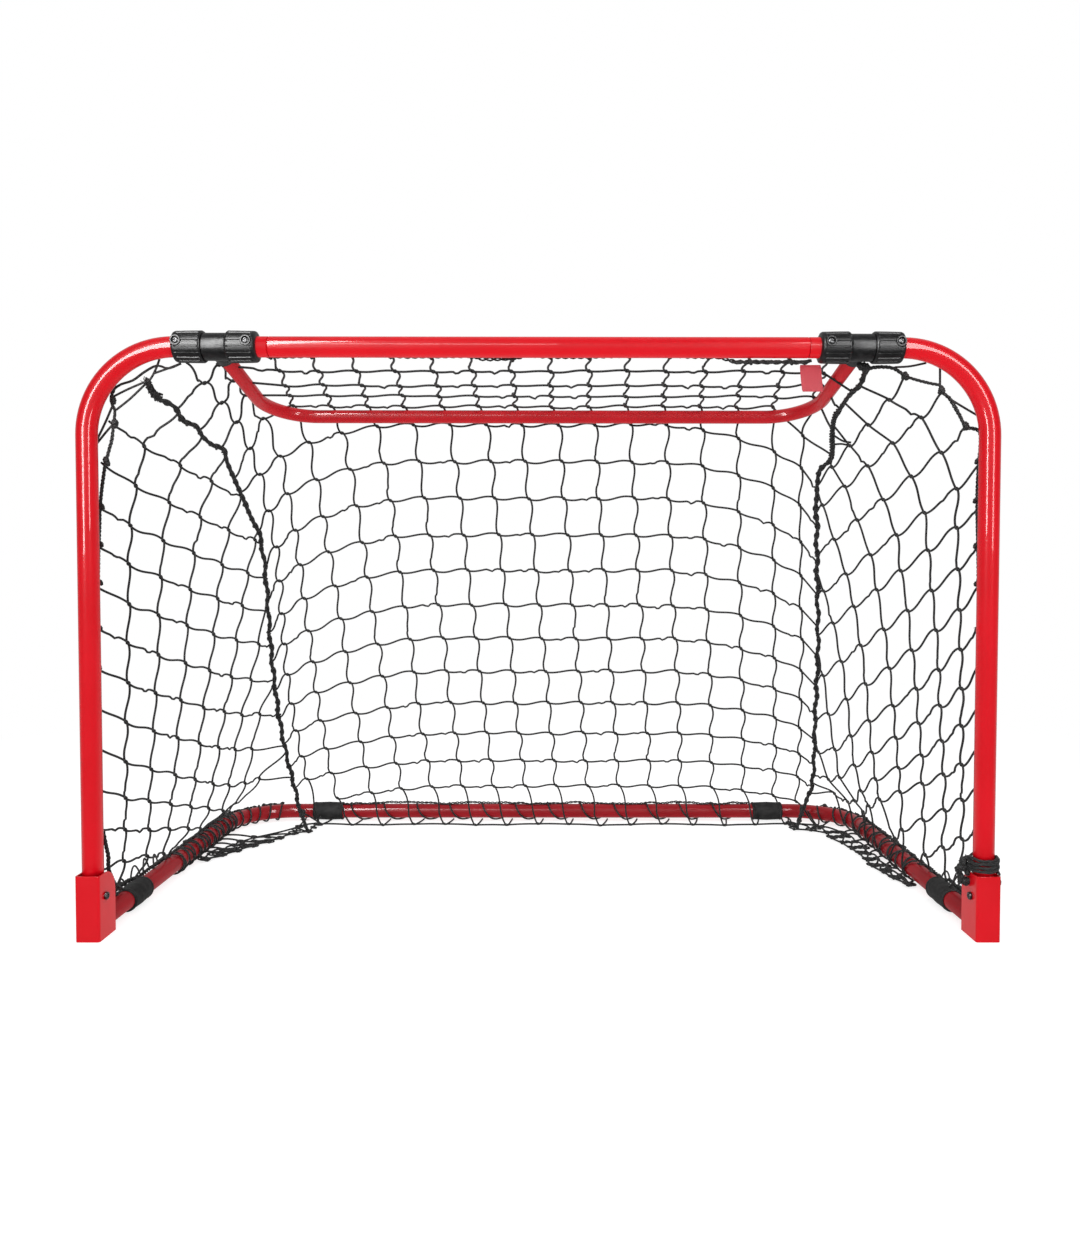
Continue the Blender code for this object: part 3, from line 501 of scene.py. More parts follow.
def finish_soft(made, node):
    """Twine that hangs from the arch at one end: its place is baked into its mesh, and the CAD node it takes
    the place of is hidden.
    """
    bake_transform(made)
    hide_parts(node)


# Materials


class Finish:
    """A procedural material and short ways to add its nodes."""

    def __init__(self, name, colour, roughness, metallic=0.0):
        self.material = bpy.data.materials.new(name)
        self.material.use_nodes = True
        self.tree = self.material.node_tree
        self.inputs = self.tree.nodes["Principled BSDF"].inputs
        self.inputs["Base Color"].default_value = (*colour, 1)
        self.inputs["Roughness"].default_value = roughness
        self.inputs["Metallic"].default_value = metallic

    def node(self, kind, **values):
        made = self.tree.nodes.new(kind)
        for name, value in values.items():
            if name in made.inputs:
                made.inputs[name].default_value = value
            else:
                setattr(made, name, value)
        return made

    def link(self, source, target):
        self.tree.links.new(source, target)

    def math(self, operation, first, second=0.0):
        made = self.node("ShaderNodeMath", operation=operation)
        for socket, value in zip(made.inputs, (first, second)):
            if isinstance(value, (int, float)):
                socket.default_value = value
            else:
                self.link(value, socket)
        return made.outputs[0]

    def noise(self, scale, detail):
        places = self.node("ShaderNodeTexCoord")
        noise = self.node("ShaderNodeTexNoise", Scale=scale, Detail=detail)
        self.link(places.outputs["Object"], noise.inputs["Vector"])
        return noise.outputs["Fac"]

    def spread(self, source, low, high):
        """The source's range 0 to 1 as low to high."""
        made = self.node("ShaderNodeMapRange", **{"To Min": low, "To Max": high})
        self.link(source, made.inputs["Value"])
        return made.outputs["Result"]

    def tone(self, source, low, high, start, end):
        """Colours from low to high as the source goes from start to end."""
        ramp = self.node("ShaderNodeValToRGB")
        for element, position, colour in zip(ramp.color_ramp.elements, (start, end), (low, high)):
            element.position = position
            element.color = (*colour, 1)
        self.link(source, ramp.inputs["Fac"])
        self.link(ramp.outputs["Color"], self.inputs["Base Color"])

    def gloss(self, source, low, high):
        """A roughness that goes from low to high with the source."""
        self.link(self.spread(source, low, high), self.inputs["Roughness"])

    def relief(self, height, distance, below=None):
        """Fine relief, laid over the relief below it."""
        made = self.node("ShaderNodeBump", Strength=1.0, Distance=distance)
        self.link(height, made.inputs["Height"])
        if below:
            self.link(below, made.inputs["Normal"])
        self.link(made.outputs["Normal"], self.inputs["Normal"])
        return made.outputs["Normal"]


def red_paint(name, light, dark, roughness):
    """Glossy powder coat: slightly uneven in colour and gloss, with a fine orange peel."""
    paint = Finish(name, light, roughness)
    paint.tone(paint.noise(14, 5), dark, light, 0.3, 0.6)
    paint.gloss(paint.noise(60, 3), roughness - 0.04, roughness + 0.05)
    paint.inputs["Specular IOR Level"].default_value = 0.15
    paint.inputs["Coat Weight"].default_value = 0.7
    paint.inputs["Coat Roughness"].default_value = 0.07
    peel = paint.relief(paint.noise(600, 2), 0.000004)
    paint.link(peel, paint.inputs["Coat Normal"])
    return paint.material


def black_plastic():
    """Moulded plastic with a fine texture and paler, worn high spots."""
    plastic = Finish("moulded_plastic", (0.02, 0.02, 0.021), 0.42)
    plastic.tone(plastic.noise(220, 6), (0.006, 0.006, 0.0065), (0.02, 0.02, 0.021), 0.35, 0.75)
    plastic.gloss(plastic.noise(400, 4), 0.24, 0.42)
    plastic.relief(plastic.noise(2600, 3), 0.00006)
    return plastic.material


def black_rubber():
    """Dull rubber with a dusty bloom."""
    rubber = Finish("sleeve_rubber", (0.02, 0.02, 0.02), 0.75)
    rubber.tone(rubber.noise(160, 6), (0.008, 0.008, 0.008), (0.026, 0.025, 0.025), 0.4, 0.8)
    rubber.gloss(rubber.noise(300, 4), 0.6, 0.85)
    rubber.relief(rubber.noise(1500, 4), 0.0001)
    return rubber.material


def dark_steel():
    """Blackened steel with fine machining marks."""
    steel = Finish("blackened_steel", (0.1, 0.1, 0.105), 0.36, 1.0)
    steel.tone(steel.noise(500, 5), (0.07, 0.07, 0.072), (0.26, 0.26, 0.264), 0.35, 0.7)
    steel.gloss(steel.noise(900, 3), 0.25, 0.5)
    steel.relief(steel.noise(3000, 2), 0.00003)
    return steel.material


def black_twine(name, around, pitch, distance):
    """Laid twine: strands that wind round it, with fibres and a greyer bloom on the high spots."""
    twine = Finish(name, (0.01, 0.01, 0.011), 0.7)
    places = twine.node("ShaderNodeUVMap", uv_map="run")
    parts = twine.node("ShaderNodeSeparateXYZ")
    twine.link(places.outputs["UV"], parts.inputs["Vector"])
    turn = twine.math("MULTIPLY", parts.outputs["X"], 2 * math.pi * around)
    run = twine.math("MULTIPLY", parts.outputs["Y"], 2 * math.pi / pitch)
    lays = [twine.math("SINE", twine.math(way, turn, run)) for way in ("ADD", "SUBTRACT")]
    height = twine.spread(twine.math("MAXIMUM", *lays), 0.5, 1.0)
    fuzz = twine.noise(4000, 4)
    bloom = twine.math("MULTIPLY", height, fuzz)
    twine.tone(bloom, (0.004, 0.004, 0.0045), (0.02, 0.02, 0.021), 0.2, 0.8)
    twine.gloss(fuzz, 0.55, 0.8)
    twine.inputs["Sheen Weight"].default_value = 0.15
    twine.inputs["Sheen Roughness"].default_value = 0.4
    twine.relief(height, distance, below=twine.relief(fuzz, 0.00008))
    return twine.material


def woven_strap():
    """Plain red ribbon with a fine weave."""
    strap = Finish("woven_tab", (0.78, 0.02, 0.05), 0.6)
    places = strap.node("ShaderNodeTexCoord")
    threads = []
    for way in ("X", "Z"):
        wave = strap.node("ShaderNodeTexWave", Scale=420.0, bands_direction=way)
        strap.link(places.outputs["Object"], wave.inputs["Vector"])
        threads.append(wave.outputs["Fac"])
    weave = strap.math("MULTIPLY", *threads)
    strap.tone(weave, (0.55, 0.01, 0.03), (0.86, 0.03, 0.06), 0.1, 0.8)
    strap.gloss(strap.noise(800, 3), 0.5, 0.7)
    strap.inputs["Sheen Weight"].default_value = 0.3
    strap.relief(weave, 0.0001)
    return strap.material


# Studio


def make_camera():
    data = bpy.data.cameras.new("photo_camera")
    data.sensor_fit = "AUTO"
    data.sensor_width = SENSOR
    data.lens = SENSOR * FOCAL_PIXELS / PHOTO_SIZE[1]
    data.shift_x = (PHOTO_SIZE[0] / 2 - PRINCIPAL_PIXEL[0]) / PHOTO_SIZE[1]
    data.shift_y = (PRINCIPAL_PIXEL[1] - PHOTO_SIZE[1] / 2) / PHOTO_SIZE[1]
    data.clip_start, data.clip_end = 0.01, 50
    camera = add_to_scene("photo_camera", data)
    camera.location = in_cad_frame(CAMERA_PLACE)
    camera.rotation_euler = camera_turn().to_euler()
    bpy.context.scene.camera = camera


def make_light(name, centre, aim, size, power, mirrored=False):
    """A soft light. A mirrored one shows only in the gloss, and the others only light the surfaces."""
    data = bpy.data.lights.new(name, "AREA")
    data.shape = "RECTANGLE"
    data.size, data.size_y = size
    data.energy = power
    light = add_to_scene(name, data)
    light.location = centre
    light.visible_glossy = mirrored
    light.visible_diffuse = not mirrored
    light.rotation_euler = (Vector(aim) - Vector(centre)).to_track_quat("-Z", "Y").to_euler()


def make_world():
    """White to the camera and a soft grey room for the light. What the gloss mirrors is white behind
    the goal, where the backdrop is, and dark on the side of the camera."""
    world = bpy.data.worlds.new("studio")
    world.use_nodes = True
    nodes, link = world.node_tree.nodes, world.node_tree.links.new
    places = nodes.new("ShaderNodeTexCoord")
    parts = nodes.new("ShaderNodeSeparateXYZ")
    link(places.outputs["Generated"], parts.inputs["Vector"])

    def background(axis, *limits):
        shade = nodes.new("ShaderNodeBackground")
        ramp = nodes.new("ShaderNodeMapRange")
        for name, limit in zip(("From Min", "From Max", "To Min", "To Max"), limits):
            ramp.inputs[name].default_value = limit
        link(parts.outputs[axis], ramp.inputs["Value"])
        link(ramp.outputs["Result"], shade.inputs["Strength"])
        shade.inputs["Color"].default_value = (1, 1, 1, 1)
        return shade

    path = nodes.new("ShaderNodeLightPath")
    shown = background("Z", -0.3, 0.9, 0.2, 0.58)
    mirrored = background("Y", -0.25, 0.6, 0.03, 0.45)
    white = background("Z", 0.0, 1.0, 1.0, 1.0)
    for ray, other in (("Is Glossy Ray", mirrored), ("Is Camera Ray", white)):
        mix = nodes.new("ShaderNodeMixShader")
        for target, source in enumerate((path.outputs[ray], shown.outputs[0], other.outputs[0])):
            link(source, mix.inputs[target])
        shown = mix
    link(shown.outputs[0], nodes["World Output"].inputs["Surface"])
    bpy.context.scene.world = world


def make_floor():
    """A pale floor, which goes over into plain white further out."""
    reach = 12
    mesh = bpy.data.meshes.new("studio_floor")
    corners = [(-reach, -reach, 0), (reach, -reach, 0), (reach, reach, 0), (-reach, reach, 0)]
    mesh.from_pydata(corners, [], [(0, 1, 2, 3)])
    paper = Finish("studio_paper", (0.4, 0.4, 0.4), 0.9)
    places = paper.node("ShaderNodeTexCoord")
    distance = paper.node("ShaderNodeVectorMath", operation="LENGTH")
    paper.link(places.outputs["Object"], distance.inputs[0])
    far = paper.node("ShaderNodeMapRange", **{"From Min": 0.5, "From Max": 1.5})
    paper.link(distance.outputs["Value"], far.inputs["Value"])
    paper.tone(far.outputs["Result"], (0.4, 0.4, 0.4), (0, 0, 0), 0.0, 1.0)
    paper.inputs["Specular IOR Level"].default_value = 0.0
    paper.inputs["Emission Color"].default_value = (1, 1, 1, 1)
    paper.link(paper.spread(far.outputs["Result"], 0.8, 1.0), paper.inputs["Emission Strength"])
    mesh.materials.append(paper.material)
    floor = add_to_scene("studio_floor", mesh)
    floor.visible_glossy = False


def make_studio():
    make_floor()
    make_world()
    bpy.context.scene.view_settings.view_transform = "Standard"
    aim = (0, 0, 0.45)
    make_light("left_strip", (-0.7, -1.25, 0.93), aim, (0.3, 1.6), 34, mirrored=True)
    make_light("right_strip", (0.86, -1.48, 0.93), aim, (0.3, 1.6), 20, mirrored=True)
    make_light("upper_bar", (-0.55, -1.8, 1.25), aim, (1.2, 0.25), 6, mirrored=True)
    make_light("front_fill", (0, -2.4, 0.9), aim, (2.6, 1.2), 18)
    make_light("top", (0, -0.1, 2.3), (0, 0, 0.3), (2.2, 1.2), 19)


# Rigid pieces


def make_tube(node, body, path, radius, paint):
    """An open tube with a real wall and softly rounded ends."""
    spokes = spokes_round(path, TUBE_SIDES)
    soft = 0.3
    last = len(path) - 1

    def skin(size, edge):
        start = [(path[0], 0, edge), (path[0] + unit(path[1] - path[0]) * soft, 0, size)]
        middle = [(point, index, size) for index, point in enumerate(path[1:-1], start=1)]
        end = [(path[-1] + unit(path[-2] - path[-1]) * soft, last, size), (path[-1], last, edge)]
        return start + middle + end

    skins = skin(radius, radius - soft) + skin(radius - WALL, radius - WALL + soft)[::-1]
    rings = np.array([centre + size * spokes[index] for centre, index, size in skins])
    centres = np.array([centre for centre, _, _ in skins])
    shape = Shape()
    shape.add_rings(rings, path_lengths(centres), closed=True)
    shape.look(node, body, paint, "red_paint", sharp=50)


def make_crossbar(paint):
    """The crossbar, with swaged ends that go into the corner tubes."""
    shoulder = JOINT_X - JOINT_GAP
    end = JOINT_X + SPIGOT_LENGTH
    outer = [(SPIGOT_R, end), (SPIGOT_R, shoulder), (TUBE_R - 0.7, shoulder), (TUBE_R, shoulder - 0.9)]
    inner = [(TUBE_R - WALL, shoulder - 6), (SPIGOT_R - WALL, shoulder - 3), (SPIGOT_R - WALL, end)]
    shape = Shape()
    profile = outer + mirrored(outer) + mirrored(inner) + inner
    turned(shape, profile, TUBE_SIDES, place(0, 0, BAR_Z), (1, 0, 0))
    shape.look("crossbar_tube", "front_frame", paint, "red_paint", sharp=30)


def make_arch(paint):
    for name, side in SIDES.items():
        corners = [(POST_X, POST_FOOT_Z), (POST_X, BAR_Z), (JOINT_X + JOINT_GAP, BAR_Z)]
        path = rounded_path([place(side * x, 0, z) for x, z in corners], ARCH_BEND_R)
        make_tube(f"{name}_corner_tube", "front_frame", path, TUBE_R, paint)
    make_crossbar(paint)


def make_roof_bar(paint):
    ends = [(-ARM_X, ARM_START), (-ARM_X, ARM_LENGTH), (ARM_X, ARM_LENGTH), (ARM_X, ARM_START)]
    path = rounded_path([on_roof(x, along) for x, along in ends], ROOF_BEND_R)
    make_tube("roof_bar", "roof", path, ARM_R, paint)


def ground_path():
    ends = [(-POST_X, GROUND_START), (-POST_X, GROUND_DEPTH), (POST_X, GROUND_DEPTH), (POST_X, GROUND_START)]
    return rounded_path([place(x, depth, GROUND_Z) for x, depth in ends], GROUND_BEND_R)


def make_collar(name, start_x, outward, screw_x, plastic):
    """A fluted collar, rounded at its free end, with a ring that stands up round its screw."""
    profile = []
    steps = 24
    rounding = 3
    chamfer = 0.8
    for step in range(steps + 1):
        height = COLLAR_LENGTH * step / steps
        from_end = COLLAR_LENGTH - height
        radius = COLLAR_R - 0.5 * (height / COLLAR_LENGTH) ** 2
        if from_end < rounding:
            radius -= rounding - math.sqrt(max(0.0, rounding**2 - (rounding - from_end) ** 2))
        if height < chamfer:
            radius -= chamfer - height
        profile.append((radius, height))
    profile += [(BORE_R, COLLAR_LENGTH), (BORE_R, 0.0)]

    def flutes(angles, radius, height):
        if radius < BORE_R + 1 or not 1.6 < height < COLLAR_LENGTH - 4:
            return 0.0
        return np.where(np.cos(COLLAR_FLUTES * angles) < -0.55, -FLUTE_DEPTH, 0.0)

    shape = Shape()
    turned(shape, profile, COLLAR_FLUTES * 10, place(start_x, 0, BAR_Z), (outward, 0, 0), flutes)
    ring = [(3.5, 12.0), (3.5, 15.9), (3.8, 16.2), (4.7, 16.2), (5.1, 15.7), (5.1, 12.0)]
    turned(shape, ring, 40, place(screw_x, 0, BAR_Z + SCREW_RISE), (0, -1, 0))
    shape.look(name, "front_frame", plastic, "black_plastic", sharp=40)


def make_collar_screw(name, x, steel):
    """A round-headed screw with a cross recess."""
    profile = [(0.6, 4.0), (1.5, 5.5), (1.5, 13.9), (3.1, 13.9), (3.1, 15.0)]
    profile += [(2.7, 15.6), (1.9, 16.0), (1.5, 16.1), (1.3, 15.9), (0.9, 14.9)]

    def cross(angles, radius, height):
        if radius > 1.35 or height < 14.5:
            return 0.0
        return radius * 0.45 * np.cos(4 * angles)

    shape = Shape()
    turned(shape, profile, 32, place(x, 0, BAR_Z + SCREW_RISE), (0, -1, 0), cross, closed=False)
    shape.look(name, "front_frame", steel, "dark_steel", sharp=35)


def make_barrel(name, side, plastic):
    """The barrel that turns on the crossbar, with the socket that holds an arm of the roof bar."""
    half = BARREL_HALF_LENGTH
    corners = [(BORE_R, -half), (BORE_R, half), (BARREL_R, half), (BARREL_R, -half)]
    body, boss, socket = Shape(), Shape(), Shape()
    centre = place(side * ARM_X, 0, BAR_Z)
    turned(body, rounded_profile(corners, 0.7), 72, centre, (1, 0, 0))
    along = on_roof(0, 1) - on_roof(0, 0)
    outside = [(BOSS_R, 11.6), (BOSS_R, BOSS_REACH - 0.8), (BOSS_R - 0.8, BOSS_REACH)]
    turned(boss, outside, 48, centre, along, closed=False)
    turned(socket, [(SOCKET_R, 13.6), (SOCKET_R, 30)], 48, centre, along, closed=False)
    made = body.piece(f"{name}_pivot_barrel_look", plastic)
    carve(made, "UNION", boss.piece("boss", plastic))
    carve(made, "DIFFERENCE", socket.piece("socket", plastic))
    made.data.shade_smooth()
    made.data.set_sharp_from_angle(angle=math.radians(35))
    finish_piece(made, "roof", f"{name}_pivot_barrel")


def carve(made, operation, tool):
    """Join a solid to a piece or cut it away, and remove the solid."""
    change = made.modifiers.new("change", "BOOLEAN")
    change.operation = operation
    change.solver = "EXACT"
    change.object = tool
    graph = bpy.context.evaluated_depsgraph_get()
    made.data = bpy.data.meshes.new_from_object(made.evaluated_get(graph))
    made.modifiers.remove(made.modifiers["change"])
    bpy.data.objects.remove(tool)


def make_fittings(plastic, steel):
    for name, side in SIDES.items():
        for end, outward, screw_x in (("outer", side, OUTER_SCREW_X), ("inner", -side, INNER_SCREW_X)):
            start_x = side * ARM_X + outward * (BARREL_HALF_LENGTH + 0.3)
            make_collar(f"{name}_{end}_collar", start_x, outward, side * screw_x, plastic)
            make_collar_screw(f"{name}_{end}_screw", side * screw_x, steel)
        make_barrel(name, side, plastic)


def prism(outline, x_start, x_end, finish):
    """A solid between two planes of constant x, from an outline of (depth, z)."""
    shape = Shape()
    rings = [[place(x, depth, z) for depth, z in outline] for x in (x_start, x_end)]
    shape.add_rings(np.array(rings), [x_start, x_end], caps=True)
    return shape.piece("cutter", finish, smooth=False)


def bracket_plan(inset):
    """The folded sheet of a bracket from above, at a distance in from its outer face."""
    half, bend, steps = BRACKET_HALF_WIDTH, BRACKET_BEND_R, 8
    reach = bend - inset
    plan = [(inset - half, BRACKET_REAR)]
    for centre_x, first in ((bend - half, 180), (half - bend, 270)):
        for step in range(steps + 1):
            angle = math.radians(first + 90 * step / steps)
            depth = reach * math.sin(angle) + bend - BRACKET_FRONT
            plan.append((centre_x + reach * math.cos(angle), depth))
    return [*plan, (half - inset, BRACKET_REAR)]


def bracket_corner(over):
    """What is cut away at the top rear of a bracket, as an outline of (depth, z)."""
    steps = 12
    rear, top = BRACKET_REAR + over, BRACKET_HEIGHT + over
    outline = [(rear, BRACKET_REAR_HEIGHT), (rear, top), (BRACKET_TOP_DEPTH, top)]
    for step in range(steps + 1):
        t = step / steps
        rounding = BRACKET_ROUNDING * t * (1 - t)
        depth = BRACKET_TOP_DEPTH + (BRACKET_REAR - BRACKET_TOP_DEPTH) * t + rounding
        height = BRACKET_HEIGHT + (BRACKET_REAR_HEIGHT - BRACKET_HEIGHT) * t + rounding
        outline.append((depth, height))
    return outline


def make_bracket(name, side, paint):
    """A sheet folded round the foot of the post, with its top rear corner cut away."""
    plan = bracket_plan(0) + bracket_plan(BRACKET_SHEET)[::-1]
    shape = Shape()
    rings = [[place(side * POST_X + x, depth, z) for x, depth in plan] for z in (0, BRACKET_HEIGHT)]
    shape.add_rings(np.array(rings), [0, BRACKET_HEIGHT], caps=True)
    made = shape.piece(f"{name}_bracket_look", paint, smooth=False)
    over = 2
    ends = [side * POST_X + way * (BRACKET_HALF_WIDTH + over) for way in (-1, 1)]
    carve(made, "DIFFERENCE", prism(bracket_corner(over), *ends, paint))
    hole = Shape()
    profile = [(BOLT_HOLE_R, end) for end in ends]
    turned(hole, profile, 32, place(0, 0, PIVOT_Z), (1, 0, 0), closed=False)
    carve(made, "DIFFERENCE", hole.piece("hole", paint))
    soft = made.modifiers.new("soft_edges", "BEVEL")
    soft.width = 0.35 * MM
    soft.segments = 3
    soft.limit_method = "ANGLE"
    soft.angle_limit = math.radians(40)
    soft.harden_normals = True
    made.data.shade_smooth()
    finish_piece(made, "ground_frame", f"{name}_bracket")


def make_hinge_bolt(name, side, steel):
    """A pin through bracket and post, with its socket head inside the goal."""
    face = BRACKET_HALF_WIDTH + 0.3
    head = [(1.7, 1.2), (1.8, 2.4), (2.7, 2.5), (3.4, 2.2), (3.75, 1.6), (3.75, 0), (2.5, 0)]
    tail = [(2.5, 0), (3.3, 0), (3.3, 0.3), (2.2, 1.0), (0.8, 1.2)]
    profile = [(radius, -face - out) for radius, out in head]
    profile += [(radius, face + out) for radius, out in tail]

    def socket(angles, radius, height):
        if radius < 1.9 and height < 0:
            return radius * 0.12 * np.cos(6 * angles)
        return 0.0

    shape = Shape()
    turned(shape, profile, 36, place(side * POST_X, 0, PIVOT_Z), (side, 0, 0), socket, closed=False)
    shape.look(f"{name}_hinge_bolt", "ground_frame", steel, "dark_steel", sharp=35)


def make_sleeve(name, centre, direction, rubber):
    """A rubber sleeve on the ground tube, a little fuller in the middle, with a rim at each end."""
    half = SLEEVE_LENGTH / 2
    rim = [(SLEEVE_R - cut, half - inward) for cut, inward in SLEEVE_RIM]
    middle = [(SLEEVE_R - 0.6 * abs(share), share * (half - 6)) for share in (-1, -0.5, 0, 0.5, 1)]
    profile = [(SLEEVE_BORE_R, half), (SLEEVE_BORE_R, -half)] + mirrored(rim) + middle + rim
    shape = Shape()
    turned(shape, profile, 56, centre, direction)
    shape.look(name, "ground_frame", rubber, "black_rubber", sharp=60)


def make_foot_parts(paint, steel, rubber):
    for name, side in SIDES.items():
        make_bracket(name, side, paint)
        make_hinge_bolt(name, side, steel)
        rear = place(REAR_SLEEVE_X[name], GROUND_DEPTH, GROUND_Z)
        beside = place(side * POST_X, SIDE_SLEEVE_DEPTH, GROUND_Z)
        make_sleeve(f"{name}_rear_sleeve", rear, (1, 0, 0), rubber)
        make_sleeve(f"{name}_side_sleeve", beside, (0, 1, 0), rubber)


# Net


def depth_in_view(path, pixel):
    """How deep a path is at the place that shows nearest to a pixel."""
    away = path - CAMERA_PLACE
    miss = np.linalg.norm(np.cross(away, unit(sight(pixel))), axis=1) / np.linalg.norm(away, axis=1)
    return path[np.argmin(miss)][1]


def make_seam(name):
    """The seam through the places where the photo shows its top, and on down to the rear bend."""
    guide = resample(smooth_route(SEAM_CORNERS[name]), 4)
    points = [seen_at(pixel, depth_in_view(guide, pixel)) for pixel in SEAM_TOPS[name]]
    points += [np.array(corner) for corner in SEAM_CORNERS[name] if corner[1] > points[-1][1] + 14]
    return resample(smooth_route(points), 4)


SEAMS = {name: make_seam(name) for name in SIDES}
BACK_PROFILE = resample(smooth_route(BACK_CORNERS, 24), 1)


def on_back(along):
    """Depth and height of the back panel, by the length down it from its first row."""
    whole = path_lengths(BACK_PROFILE)[-1]
    return along_path(BACK_PROFILE, along * whole / BACK_LENGTH)[1:]


def seam_at_height(name, z):
    seam = SEAMS[name][::-1]
    return place(np.interp(z, seam[:, 2], seam[:, 0]), np.interp(z, seam[:, 2], seam[:, 1]), z)


def seam_at_depth(name, depth):
    seam = SEAMS[name]
    return place(np.interp(depth, seam[:, 1], seam[:, 0]), depth, np.interp(depth, seam[:, 1], seam[:, 2]))


def back_droop(column, row):
    """How far a crossing hangs below the middle of its row."""
    if column < MIDDLE_COLUMN:
        droop = 2.6 * max(0.0, 6 - column) ** 2
    else:
        droop = 2.8 * max(0.0, column - 12.5) ** 2
    lifted = min(1.0, max(0.0, (row - 7) / 8))
    return droop * (1 - 0.45 * lifted**1.3)


def back_x(column, share):
    """Where a column is, at a share of the way down the back panel."""
    return (column - MIDDLE_LINE) * (42.6 + 1.9 * share) - 1.5 + 47 * share


def back_knot(column, row):
    """A crossing of the back panel. The lowest row lies on the floor inside the rear tube."""
    along = MESH_SIDE * (row - BACK_ROW) + back_droop(column, row)
    if along > BACK_LENGTH - 14 and row < LAST_ROW:
        return None
    along = min(along, BACK_LENGTH)
    depth, z = on_back(along)
    share = along / BACK_LENGTH
    if row == LAST_ROW and 0 < column < LAST_COLUMN:
        return place(back_x(column, share) + 14, 417 + 4 * math.sin(1.7 * column), FLOOR_LIE)
    if column in ROOF_COLUMNS:
        return place(back_x(column, share), depth, z)
    name = "left" if column < MIDDLE_COLUMN else "right"
    seam = seam_at_height(name, z)
    near = back_x(ROOF_COLUMNS[0 if name == "left" else -1], share)
    part = SHARE_TO_SEAM[column]
    return seam if part == 1.0 else place(near + (seam[0] - near) * part, depth, z)


def roof_knot(column, row):
    """A crossing of the roof between its arms, where the net slopes a little to the rear."""
    depth = ROOF_ROW_DEPTHS[row]
    z = 574.8 - 0.129 * (depth - 14.3)
    return place((column - MIDDLE_LINE) * (39.1 + 0.9 * row) - 9, depth, z)


def outer_roof_knot(column, row):
    """Crossings of the roof outside its arms, and on them."""
    if column in (0, LAST_COLUMN):
        name, first, pitch = ("right", 26, 39) if column else ("left", 14, 40)
        return seam_at_depth(name, first + pitch * row) if row else SEAMS[name][0]
    return place(*OUTER_ROOF_KNOTS[column][row])


def big_panel_knots():
    """All crossings of the big panel, by column from the left and row from the crossbar."""
    knots = {}
    for column in range(LAST_COLUMN + 1):
        for row in range(LAST_ROW + 1):
            if row >= BACK_ROW:
                knot = back_knot(column, row)
            else:
                knot = (roof_knot if column in ROOF_COLUMNS else outer_roof_knot)(column, row)
            if knot is not None:
                knots[column, row] = knot
    return knots


def side_plan(name):
    """Rows and columns of a side panel: front ends of the rows, and depths of the columns."""
    if name == "left":
        fronts = [(-425, 15, 511), (-433, 14, 470.4)]
        fronts += [(-440, 12.5, 470.4 - ROW_PITCH * step) for step in range(1, 11)]
        depths = [57 + 45.5 * step for step in range(9)]
    else:
        fronts = [(363, 14, 557.5), (400, 15, 541.5), (423.5, 15, 507.6)]
        fronts += [(440, 12.5, 472.4 - ROW_PITCH * step) for step in range(11)]
        depths = [48 + 43.5 * step for step in range(9)]
    return [place(*front) for front in fronts], depths


def side_height(name, row, front, depth):
    """How high a row of a side panel lies at a depth. The lowest rows run down to the ground tube."""
    if row in TUBE_ROWS[name]:
        reach, curve = TUBE_ROWS[name][row]
        return front - (front - TUBE_TOP_Z) * min(1.0, depth / reach) ** curve
    if name == "left":
        slack = 4.6 * max(0.0, row - 4.5) * (depth / 276) ** 1.2
        return front - 80 * (1 - max(0.0, 1 - depth / 320) ** 1.4) - slack
    return front - RIGHT_ROW_SLOPES[row - 1] * min(depth, 330)


def beside_tube(side, along, outward, z):
    """A place beside the middle of the ground tube, by the length along it from the posts."""
    bend_start = GROUND_DEPTH - GROUND_BEND_R
    angle = min(math.pi / 2, max(0.0, along - bend_start) / GROUND_BEND_R)
    reach = GROUND_BEND_R + outward
    x = POST_X - GROUND_BEND_R + reach * math.cos(angle)
    return place(side * x, min(along, bend_start) + reach * math.sin(angle), z)


def side_pull(name, depth, z):
    """How far the ground tube and the post draw a side panel out of the straight line to its seam."""
    near_floor = min(1.0, max(0.0, (100 - z) / 75)) ** 1.5
    if name == "left":
        return max(near_floor, 0.6 * max(0.0, (250 - z) / 240))
    from_post = min(1.0, max(0.0, 1 - (depth - 90) / 120))
    return min(1.0, max(near_floor, max(0.0, (350 - z) / 240) * from_post))


def side_knots(name):
    """Crossings of a side panel. Column 0 is the post, and a row ends on the seam or the ground tube."""
    side = SIDES[name]
    seam = SEAMS[name]
    fronts, depths = side_plan(name)
    knots = {}
    ends = {}
    for row, front in enumerate(fronts, start=1):
        below = [side_height(name, row, front[2], point[1]) > point[2] for point in seam]
        end = seam[below.index(True) if True in below else -1]
        last_depth = end[1] - 12
        if row in TUBE_ROWS[name]:
            last_depth = TUBE_ROWS[name][row][0] - 16
        knots[row, 0] = front
        for column, depth in enumerate(depths, start=1):
            if depth > last_depth:
                break
            z = side_height(name, row, front[2], depth)
            share = min(1.0, (depth - front[1]) / (end[1] - front[1]))
            hanging = place(front[0] + (end[0] - front[0]) * share, depth, z)
            drawn = (beside_tube(side, depth, -1, z) - hanging) * side_pull(name, depth, z)
            knots[row, column] = hanging + drawn
        if row in TUBE_ROWS[name]:
            end = beside_tube(side, TUBE_ROWS[name][row][0], 4 if side < 0 else 0, GROUND_Z + 11)
        ends[row] = end
    return knots, ends, depths


